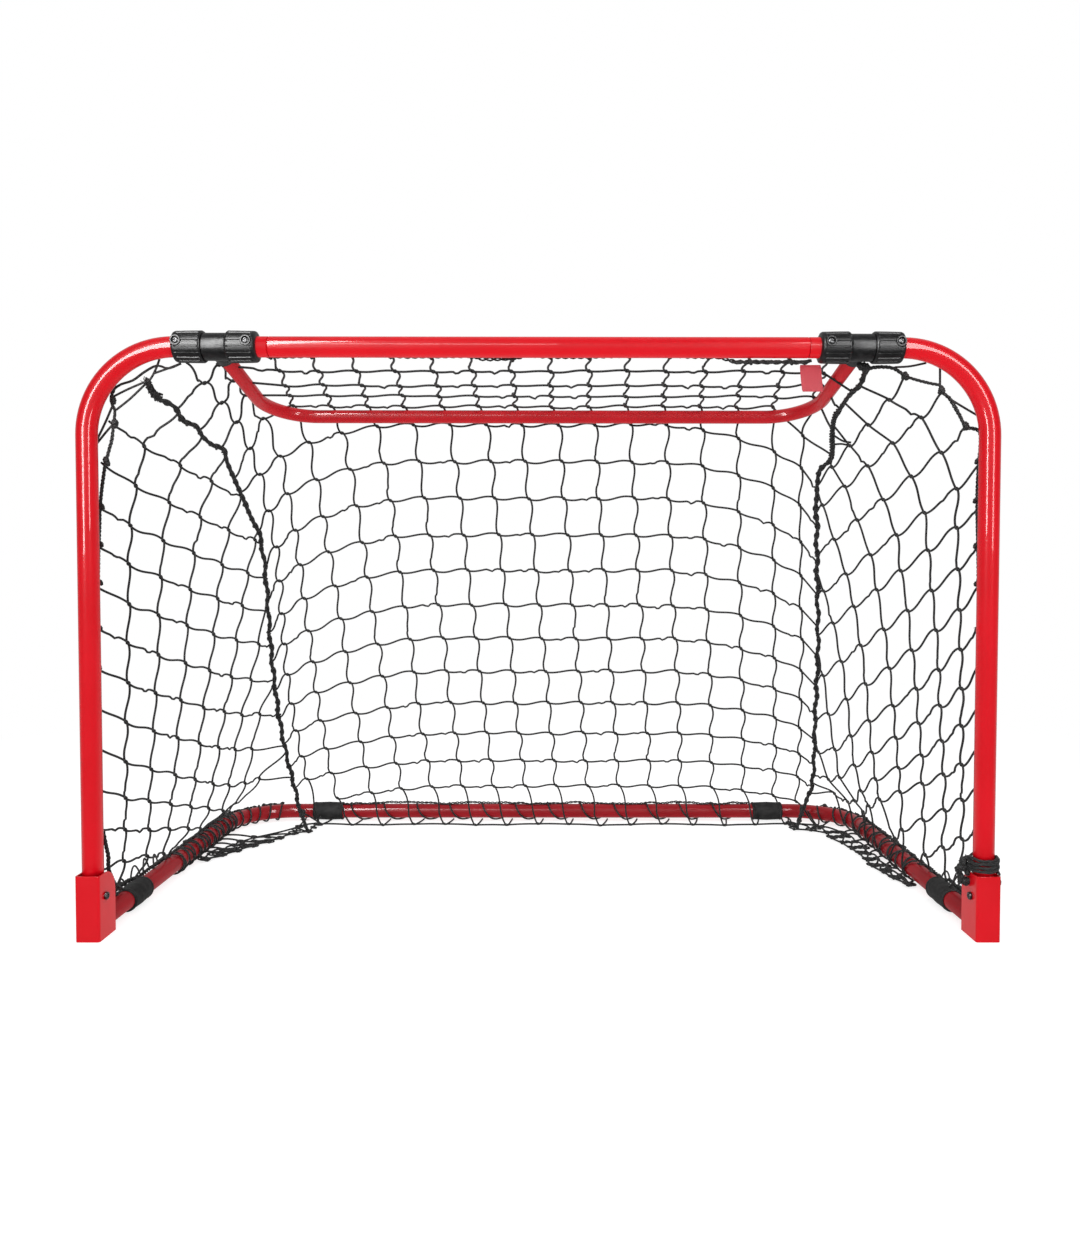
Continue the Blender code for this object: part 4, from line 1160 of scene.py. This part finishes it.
def add_strand(shape, start, end, twist, knotted=(1, 1)):
    """Twine from one knot to the next. It leaves and arrives along the knots' own slant."""
    steps = 13
    span = end - start
    length = np.linalg.norm(span)
    jitter = [CHANCE.uniform(0.5, 1.5) for _ in range(2)]
    reach = 2.3 * twist
    leave = span * 0.8 + twist * length * 0.42 * jitter[0]
    arrive = span * 0.84 + twist * length * 0.32 * jitter[1]
    path = hermite(start + reach * knotted[0], end - reach * knotted[1], leave, arrive, steps)
    if CHANCE.random() < 0.4:
        kink = place(CHANCE.uniform(-1, 1), 0, -3.2) * CHANCE.uniform(0.5, 1.2)
        from_kink = (np.linspace(0, 1, steps) - CHANCE.uniform(0.55, 0.75)) / 0.09
        path += np.exp(-(from_kink**2))[:, None] * kink
    shape.add_tube(path, TWINE_R)


def add_loose(shape, start, end, sway, radius=TWINE_R, lift=0.0):
    """Slack twine between two places, with a sideways sway, kept above the floor."""
    span = end - start
    aside = unit(np.cross(span, UP) + (0.001, 0, 0)) * np.linalg.norm(span) * sway
    leave = span + aside * CHANCE.uniform(0.6, 1.4) + lift * UP
    arrive = span - aside * CHANCE.uniform(0.6, 1.4) - lift * UP
    path = hermite(start, end, leave, arrive, 12)
    path[:, 2] = np.maximum(path[:, 2], FLOOR_LIE)
    shape.add_tube(path, radius)


def add_knot(shape, centre, twist, size=1.0):
    """A sheet bend: a short core along the slant, with twine wound over it."""
    core = np.array([centre + twist * step * size for step in (-3.0, -2.1, 0.0, 2.1, 3.0)])
    shape.add_tube(core, np.array((0.9, 1.5, 1.7, 1.5, 0.9)) * size)
    side = unit(np.cross(twist, (0.2, 1.0, 0.1)))
    other = np.cross(twist, side)
    first = CHANCE.uniform(0, 2 * math.pi)
    steps = 14
    points = []
    for step in range(steps + 1):
        angle = first + 2 * math.pi * step / 8
        along = (step / steps - 0.5) * 2.4
        round_core = math.cos(angle) * side + math.sin(angle) * other
        points.append(centre + size * (twist * along + 1.4 * round_core))
    shape.add_tube(points, 0.85 * size, 6)


def add_twisted(shape, path, strands=2, spread=1.1, pitch=13, radius=1.0):
    """A cord of a few strands laid round a path, now tighter and now looser."""
    path = resample(np.array(path), 2.5)
    lengths = path_lengths(path)
    normals, others = directions_across(path)
    stretch = 14
    swell = np.array([CHANCE.uniform(0.75, 1.5) for _ in range(int(lengths[-1] // stretch) + 3)])
    swell = np.interp(lengths / stretch, np.arange(len(swell)), swell)
    for strand in range(strands):
        angles = 2 * math.pi * (lengths / pitch + strand / strands)
        spokes = np.cos(angles)[:, None] * normals + np.sin(angles)[:, None] * others
        shape.add_tube(path + spokes * (spread * swell)[:, None], radius, 7)


def add_frays(shape, centre, count, reach=5.0):
    """Short loose ends of twine."""
    for _ in range(count):
        way = unit(random_step(1))
        bend = random_step(1)
        points = [centre, centre + way * reach * 0.5, centre + way * reach * 0.8 + bend * reach * 0.35]
        shape.add_tube(smooth_route(points, 3), np.linspace(0.75, 0.3, 7), 6)


def random_step(reach):
    return np.array([CHANCE.uniform(-reach, reach) for _ in range(3)])


def jittered(point, amount=0.7):
    return point + random_step(amount)


def direction_at(knots, low, high, fallback):
    if low in knots and high in knots:
        return knots[high] - knots[low]
    return fallback


def knot_slants(knots):
    """How each knot lies: towards the lower right of the net as the camera sees it."""
    slants = {}
    for column, row in knots:
        right = direction_at(knots, (column - 1, row), (column + 1, row), place(1, 0, 0))
        down = direction_at(knots, (column, row - 1), (column, row + 1), place(0, 0.3, -1))
        slants[column, row] = unit(0.8 * unit(right) + 0.62 * unit(down))
    return slants


def make_big_panel(twine):
    """The back net, and the roof with its middle part a piece of its own, which turns with the bar."""
    knots = {key: jittered(point) for key, point in big_panel_knots().items()}
    slants = knot_slants(knots)
    roof, upper, lower = Shape(), Shape(), Shape()

    def shape_for(*keys):
        if all(column in ROOF_COLUMNS and row < BACK_ROW for column, row in keys):
            return roof
        return upper if is_upper((knots[keys[0]] + knots[keys[-1]]) / 2) else lower

    def add_strand_between(key, other, knotted):
        twist = unit(slants[key] + slants[other])
        add_strand(shape_for(key, other), knots[key], knots[other], twist, knotted)

    for key, point in knots.items():
        column, row = key
        inside = 0 < column < LAST_COLUMN
        if inside and row > 0:
            add_knot(shape_for(key), point, slants[key])
        beside = (column + 1, row)
        if beside in knots and row == LAST_ROW:
            add_loose(shape_for(key, beside), point, knots[beside], -0.16)
        elif beside in knots and row > 0:
            add_strand_between(key, beside, (column > 0, column < LAST_COLUMN - 1))
        below = next(((column, low) for low in range(row + 1, LAST_ROW + 1) if (column, low) in knots), None)
        if inside and below:
            add_strand_between(key, below, (row > 0, 1))
        if inside and row == LAST_ROW:
            under = place(point[0] + CHANCE.uniform(7, 13), GROUND_DEPTH - 9, 3.2)
            lower.add_tube(hermite(point, under, place(9, -7, 0), place(5, 26, 3), 9), TWINE_R)
    roof.look("roof_net", "roof", twine, "black_twine")
    finish_soft(upper.piece("back_net_upper_look", twine), "back_net")
    finish_soft(lower.piece("back_net_lower_look", twine), "back_net")


def make_side_panel(name, twine):
    """A side net: rows from the post to the seam or ground tube, columns from the seam to the tube."""
    side = SIDES[name]
    knots, ends, depths = side_knots(name)
    knots = {key: jittered(point) for key, point in knots.items()}
    upper, lower = Shape(), Shape()
    rearward = unit(place(-side * 0.2, 1, -0.2))
    twist = unit(-side * rearward * 0.8 + place(0, 0.03, -0.62))

    def shape_for(*points):
        return upper if is_upper(sum(points) / len(points)) else lower

    for (row, column), point in knots.items():
        if column:
            add_knot(shape_for(point), point, twist)
        after = knots.get((row, column + 1))
        knotted = (1 if column else 0, 1)
        if after is None:
            after = ends[row] + 3.5 * unit(ends[row] - point)
            knotted = (1, 0)
        pair = (point, after) if side < 0 else (after, point)
        add_strand(shape_for(*pair), *pair, twist, knotted[::-side])
        if not column:
            continue
        depth = depths[column - 1]
        if (row - 1, column) not in knots:
            top = seam_at_depth(name, depth)
            add_strand(shape_for(top, point), top, point, twist, (0, 1))
        if (row + 1, column) in knots:
            below = knots[row + 1, column]
        else:
            outward, z = (4, GROUND_Z + 10.5) if side < 0 or depth < 170 else (-11.5, GROUND_Z - 3)
            below = beside_tube(side, depth, outward, z)
            add_knot(shape_for(below), below, twist, 0.9)
        add_strand(shape_for(point, below), point, below, twist)
    finish_soft(upper.piece(f"{name}_side_net_upper_look", twine), f"{name}_side_net")
    finish_soft(lower.piece(f"{name}_side_net_lower_look", twine), f"{name}_side_net")


# Cords


def seam_path(name):
    """The seam, kinked a little between the knots that it runs through, and on to its floor knot."""
    points = []
    for index, point in enumerate(SEAMS[name][::5]):
        kink = 1.3 * (-1) ** index if point[1] > 230 else 0.0
        points.append(point + place(kink, 0, 0))
    points.append(seen_on_floor(SEAM_FLOOR_KNOTS[name], 6))
    return smooth_route(points, 6)


def add_seam_foot(shape, path):
    """The knots and ends that tie a seam to the slack net on the floor."""
    for _ in range(5):
        add_knot(shape, jittered(path[-4], 3.0), unit(jittered(UP, 1)), 1.4)
    add_frays(shape, path[-3], 4, 8)


def add_left_bundle(shape):
    """The thick bundle of twine at the top of the left seam."""
    bundle = smooth_route([seen_at(pixel, 19 + 9 * step) for step, pixel in enumerate(LEFT_BUNDLE)])
    for offset in (-2.4, 0.3, 2.6):
        add_twisted(shape, bundle + place(0.5, 0, offset), spread=1.6, radius=1.2)
    for point in bundle[::4]:
        add_frays(shape, point, 3, 7)


def add_right_bundle(shape, path):
    """The knot at the top of the right seam, and the thick stretch below it with two short ties."""
    top = [seen_at(pixel, depth) for pixel, depth in zip(RIGHT_SEAM_START, (14, 20))]
    top += [path[2], path[7]]
    add_twisted(shape, smooth_route(top), spread=1.8, radius=1.3)
    add_knot(shape, seen_at(RIGHT_SEAM_KNOT, 15), unit(place(1, 0, -0.3)), 2.2)
    thick = [point for point in path if 110 < point[1] < 200]
    add_twisted(shape, thick, strands=3, spread=1.9, pitch=15, radius=1.25)
    for tie in RIGHT_SEAM_TIES:
        depth = depth_in_view(path, tie[0])
        shape.add_tube(smooth_route([seen_at(pixel, depth) for pixel in tie]), TWINE_R)


def make_seam_cord(name, cord):
    """A seam in two halves, with two cords laid round it, frayed here and there."""
    path = seam_path(name)
    split = next(index for index, point in enumerate(path) if not is_upper(point))
    parts = (("upper", path[: split + 1], "roof"), ("lower", path[split:], "ground_frame"))
    for part, stretch, body in parts:
        shape = Shape()
        shape.add_tube(resample(stretch, 3), SEAM_R)
        add_twisted(shape, stretch, spread=2.0, pitch=24, radius=1.1)
        for point in stretch[5::40]:
            add_frays(shape, point, 1, 4)
        if part == "lower":
            add_seam_foot(shape, path)
        elif name == "left":
            add_left_bundle(shape)
        else:
            add_right_bundle(shape, path)
        finish_soft(shape.piece(f"{name}_seam_cord_{part}_look", cord), f"{name}_seam_cord")


def make_edge_cord(name, cord):
    """The cord behind a post and round its top corner, with the ends that tie it to the tube."""
    side = SIDES[name]
    tops = [seen_at(pixel, EDGE_DEPTH) for pixel in EDGE_TOPS[name]]
    run_up = ((0, EDGE_FOOT_Z[name]), (0, 200), (3, 330), (6, 420))
    post = [place(side * (POST_X - inward), EDGE_DEPTH, z) for inward, z in run_up]
    laid = 9 if side < 0 else len(tops)
    shape = Shape()
    path = smooth_route(post + tops)
    add_twisted(shape, smooth_route(post + tops[:laid]), strands=3, spread=1.0, pitch=12, radius=0.85)
    if laid < len(tops):
        shape.add_tube(resample(smooth_route(tops[laid - 1 :]), 4), TWINE_R)
    for run in SPARE_CORDS[name]:
        ends = smooth_route([seen_at(pixel, EDGE_DEPTH) for pixel in run])
        shape.add_tube(resample(ends, 4), 1.1)
    for front in side_plan(name)[0]:
        nearest = nearest_on(path, front)
        add_knot(shape, nearest + place(-side * 1.5, 0.8, 0), unit(place(-side * 0.5, 0.2, -1)), 1.15)
        if CHANCE.random() < 0.4:
            add_frays(shape, nearest, 1, 5)
    for pixel in EDGE_KNOTS[name]:
        add_knot(shape, seen_at(pixel, EDGE_DEPTH), unit(place(0.3, 0, -1)), 1.5)
    shape.look(f"{name}_edge_cord", "front_frame", cord, "black_twine")


def make_crossbar_lacing(cord):
    """Runs along the back of the crossbar, and dips into view where it is slack."""
    points = []
    for x in range(-269, 268, 5):
        dip = 30 + 5 * math.sin(x / 23)
        for middle, half, drop in ((-40, 24, 28), (229, 50, 54)):
            dip += drop * max(0.0, 1 - ((x - middle) / half) ** 4)
        angle = math.radians(dip)
        reach = 12.2 if dip < 70 else 13.4
        points.append(place(x, reach * math.cos(angle), BAR_Z - reach * math.sin(angle)))
    shape = Shape()
    path = smooth_route(points, 2)
    add_twisted(shape, path, pitch=15, radius=0.9)
    slack = [point for point in path if abs(point[0] - 229) < 42]
    add_twisted(shape, np.array(slack) + place(0, 0.6, -0.3), pitch=19, radius=1.1)
    for column in ROOF_COLUMNS:
        tie = roof_knot(column, 0)
        nearest = nearest_on(path, tie)
        add_knot(shape, nearest, unit(place(0.4, 0.3, -0.8)), 1.1)
        shape.add_tube(smooth_route([nearest, (nearest + tie) / 2 + place(0, 1, 1), tie], 4), 1.0)
    shape.look("crossbar_lacing", "front_frame", cord, "black_twine")


def round_tube(track, along, reach, angle):
    """A place round a tube: a length along its middle, a reach from it and an angle from its top."""
    tangent = unit(along_path(track, along, np.gradient(track, axis=0)))
    side = unit(np.cross(tangent, UP))
    return along_path(track, along) + reach * (math.cos(angle) * UP + math.sin(angle) * side)


def wound(track, start, pitches, radius=11.7, hand=1, unevenness=0.0):
    """A helix round a track, with one turn for each pitch."""
    steps = 16
    points = []
    for pitch in pitches:
        for step in range(steps):
            turn = 2 * math.pi * step / steps
            along = start + pitch * (step / steps - unevenness * math.sin(turn) / (2 * math.pi))
            point = round_tube(track, along, radius + CHANCE.uniform(0, 0.5), hand * turn)
            point[2] = max(point[2], FLOOR_LIE)
            points.append(point)
        start += pitch
    return np.array(points)


def rope_on_tube(track, start, end, angle_degrees, clear=12.4):
    """A run along a tube and over the sleeve on it, at an angle from its top towards the outside."""
    points = []
    for along in np.arange(start, end, 9):
        angle = math.radians(angle_degrees + CHANCE.uniform(-14, 14))
        from_sleeve = abs(along_path(track, along)[1] - SIDE_SLEEVE_DEPTH)
        reach = clear + (3 if from_sleeve < SLEEVE_LENGTH / 2 + 4 else 0)
        points.append(round_tube(track, along, reach, -angle))
    return smooth_route(points, 3)


def add_spare_run(shape, track, side, end):
    """A thick run from the foot back to the lacing, knotted at its start, with slack loops over it."""
    run = rope_on_tube(track, 66, end, -side * 52, 12.6)
    add_twisted(shape, run, strands=3, spread=1.2, radius=0.95)
    for point in run[:12:5]:
        add_knot(shape, jittered(point, 1.5) + place(0, 0, 2), unit(jittered(UP, 1)), 1.3)
        add_frays(shape, point, 2, 5)
    for along in range(70, end - 50, 26):
        first, last = rope_on_tube(track, along, along + 26, -side * 65, 12.8)[[0, -1]]
        sway = side * CHANCE.uniform(0.2, 0.5)
        add_loose(shape, first, last, sway, radius=1.0, lift=CHANCE.uniform(36, 64))


def make_ground_lacing(name, cord):
    """Cord wound round a side and bend of the ground tube, with runs along its top."""
    side = SIDES[name]
    track = resample(ground_path(), 3)[::-side]
    start, pitch, turns = LACING_TURNS[name]
    end = start + pitch * turns
    outside = -50 * side
    shape = Shape()
    shape.add_tube(smooth_route(wound(track, start, (pitch,) * turns, hand=side), 2), TWINE_R)
    crossed = wound(track, start + 9, (pitch * 1.5,) * (turns // 2), 12.6, -side)
    shape.add_tube(smooth_route(crossed, 2), TWINE_R)
    add_twisted(shape, rope_on_tube(track, start - 20, end, outside), radius=0.95)
    add_twisted(shape, rope_on_tube(track, start + 20, end + 45, outside - side * 30), radius=0.9)
    for along in range(start, end, 24):
        point = rope_on_tube(track, along, along + 10, outside)[0]
        add_knot(shape, point, unit(jittered(place(1, 1, 0), 0.6)), CHANCE.uniform(1.0, 1.5))
    add_spare_run(shape, track, side, start + 30)
    if name == "left":
        hanging = [seen_at(pixel, depth) for pixel, depth in zip(LEFT_FOOT_CORD, LEFT_FOOT_DEPTHS)]
        add_twisted(shape, smooth_route(hanging), strands=3, spread=1.2)
    shape.look(f"{name}_ground_lacing", "ground_frame", cord, "black_twine")


def make_rear_lacing(cord):
    """Cord wound round the rear of the ground tube, with a run along its top."""
    track = np.array([place(x, GROUND_DEPTH, GROUND_Z) for x in (-281, 298)])
    shape = Shape()
    path = wound(resample(track, 3), 0, (48,) * 12, unevenness=0.8)
    shape.add_tube(smooth_route(path, 2), TWINE_R)
    run = [place(x, GROUND_DEPTH + 3 * math.sin(x), GROUND_Z + 11.6) for x in range(-296, 306, 12)]
    add_twisted(shape, smooth_route([jittered(point, 1.2) for point in run], 3), spread=0.9, radius=0.85)
    shape.look("rear_ground_lacing", "ground_frame", cord, "black_twine")


def on_floor(point, height):
    return point * (1, 1, 0) + height * UP


def add_floor_loop(shape, centre):
    """A small loop of slack twine on the floor."""
    size = CHANCE.uniform(3.5, 7.5)
    turn = CHANCE.uniform(0, 2 * math.pi)
    loop = []
    for step in range(11):
        angle = turn + 2 * math.pi * step / 9
        aside = place(size * math.cos(angle), 0.8 * size * math.sin(angle), 0)
        height = FLOOR_LIE + 1.2 + 1.6 * math.sin(angle * 0.5) ** 2
        loop.append(on_floor(centre + aside, height))
    shape.add_tube(smooth_route(loop, 3), 1.0)


def make_floor_slack(name, twine):
    """Slack net that lies on the floor inside a bend of the ground tube."""
    edge = resample(smooth_route([seen_on_floor(pixel) for pixel in FLOOR_EDGES[name]]), 24)
    track = resample(ground_path(), 3)
    shape = Shape()
    rows = []
    for knot in edge:
        nearest = nearest_on(track, knot)
        tie = nearest + unit((knot - nearest) * (1, 1, 0)) * 9.5 - place(0, 0, 7)
        middle = (knot + tie) / 2 + place(CHANCE.uniform(-4, 4), CHANCE.uniform(-4, 4), 0)
        middle[2] = FLOOR_LIE + CHANCE.uniform(0, 5)
        rows.append((on_floor(jittered(knot, 2), FLOOR_LIE + 0.4), middle, tie))
    for here, there in zip(rows, rows[1:]):
        add_loose(shape, here[0], there[0], 0.3 * SIDES[name], lift=3)
        add_loose(shape, here[1], there[1], CHANCE.uniform(-0.6, 0.6), lift=5)
        add_loose(shape, here[1], there[0], CHANCE.uniform(-0.8, 0.8), lift=4)
    for outer, middle, tie in rows:
        for centre in (outer, (outer + middle) / 2, middle):
            add_floor_loop(shape, centre)
        for knot in (outer, middle):
            add_knot(shape, knot, unit(jittered(place(1, 0, 0), 0.5)))
        add_loose(shape, tie, middle, CHANCE.uniform(-0.5, 0.5), lift=6)
        add_loose(shape, middle, outer, CHANCE.uniform(-0.5, 0.5), lift=3)
    made = shape.piece(f"{name}_floor_net_look", twine)
    finish_piece(made, "ground_frame")


def make_foot_wrap(cord):
    """Spare cord wound round the right post above its bracket, knotted inside, with a tail outside."""
    shape = Shape()
    for layer, (radius, turns, low) in enumerate(((11.8, 4, 67.5), (13.2, 3, 68.5))):
        points = []
        for step in range(turns * 16 + 1):
            angle = 2 * math.pi * step / 16 + layer
            reach = radius + CHANCE.uniform(-0.3, 1.1)
            z = low + 3.6 * step / 16 + 1.2 * math.sin(angle + layer) + CHANCE.uniform(-0.5, 0.5)
            points.append(place(POST_X + reach * math.cos(angle), reach * math.sin(angle), z))
        shape.add_tube(smooth_route(points, 2), 1.35)
    for _ in range(14):
        centre = place(POST_X - 16.5, 8, 65) + random_step(1) * (3.5, 5, 12)
        add_knot(shape, centre, unit(jittered(UP, 1)), 1.5)
        add_frays(shape, centre, 1, 6)
    tail = [place(POST_X + out, depth, z) for out, depth, z in FOOT_TAIL]
    add_twisted(shape, smooth_route(tail), spread=1.3, radius=1.2)
    shape.look("foot_cord_wrap", "front_frame", cord, "black_twine")


def make_strap_tab(strap):
    """A flat woven tab that hangs behind the crossbar."""
    width, length = TAB_SIZE
    steps = 14
    face = ((-1, 0), (-0.98, -0.5), (-0.5, -0.6), (0, -0.5), (0.5, -0.6), (0.98, -0.5))
    face += ((1, 0), (0.98, 0.5), (0.5, 0.4), (0, 0.5), (-0.5, 0.4), (-0.98, 0.5))
    rings = []
    for step in range(steps + 1):
        down = length * step / steps
        middle = TAB_X + 0.105 * (down - length)
        depth = 12 + 0.9 * math.sin(math.pi * down / length)
        half = width / 2 - (0.5 if step in (0, steps) else 0.0)
        rings.append([place(middle + half * x, depth + out, TAB_TOP_Z - down) for x, out in face])
    shape = Shape()
    shape.add_rings(np.array(rings), np.linspace(0, length, steps + 1), caps=True)
    made = shape.look("strap_tab", "front_frame", strap, "red_strap", sharp=60)


def main():
    make_camera()
    make_studio()
    bright = red_paint("bright_red_coat", (0.77, 0.003, 0.012), (0.71, 0.002, 0.009), 0.34)
    # The roof bar takes the arch's red paint made darker: painted shade for the weaker light that reaches it
    roof_painted_shade_coat = red_paint("roof_red_painted_shade", (0.58, 0.008, 0.016), (0.5, 0.006, 0.012), 0.36)
    # The ground tube takes the arch's red paint made darker still: painted shade for the weaker light at the
    # rear
    ground_painted_shade_coat = red_paint("ground_red_painted_shade", (0.38, 0.009, 0.016), (0.31, 0.007, 0.012), 0.36)
    plastic = black_plastic()
    rubber = black_rubber()
    steel = dark_steel()
    twine = black_twine("net_twine", 2, 5, 0.0004)
    cord = black_twine("seam_twine", 3, 6, 0.0006)
    strap = woven_strap()
    finishes = {
        "red_paint": bright,
        "black_plastic": plastic,
        "black_rubber": rubber,
        "dark_steel": steel,
        "black_twine": cord,
        "red_strap": strap,
    }
    for part in frame["record"]["subparts"]:
        node = frame["nodes"][part["node"]]
        node.data.materials.clear()
        node.data.materials.append(finishes[part["material_slot"]])
    make_arch(bright)
    make_roof_bar(roof_painted_shade_coat)
    make_tube("ground_tube", "ground_frame", ground_path(), TUBE_R, ground_painted_shade_coat)
    make_fittings(plastic, steel)
    make_foot_parts(bright, steel, rubber)
    make_big_panel(twine)
    for name in SIDES:
        make_side_panel(name, twine)
        make_seam_cord(name, cord)
        make_edge_cord(name, cord)
        make_ground_lacing(name, cord)
        make_floor_slack(name, twine)
    make_crossbar_lacing(cord)
    make_rear_lacing(cord)
    make_foot_wrap(cord)
    make_strap_tab(strap)


main()
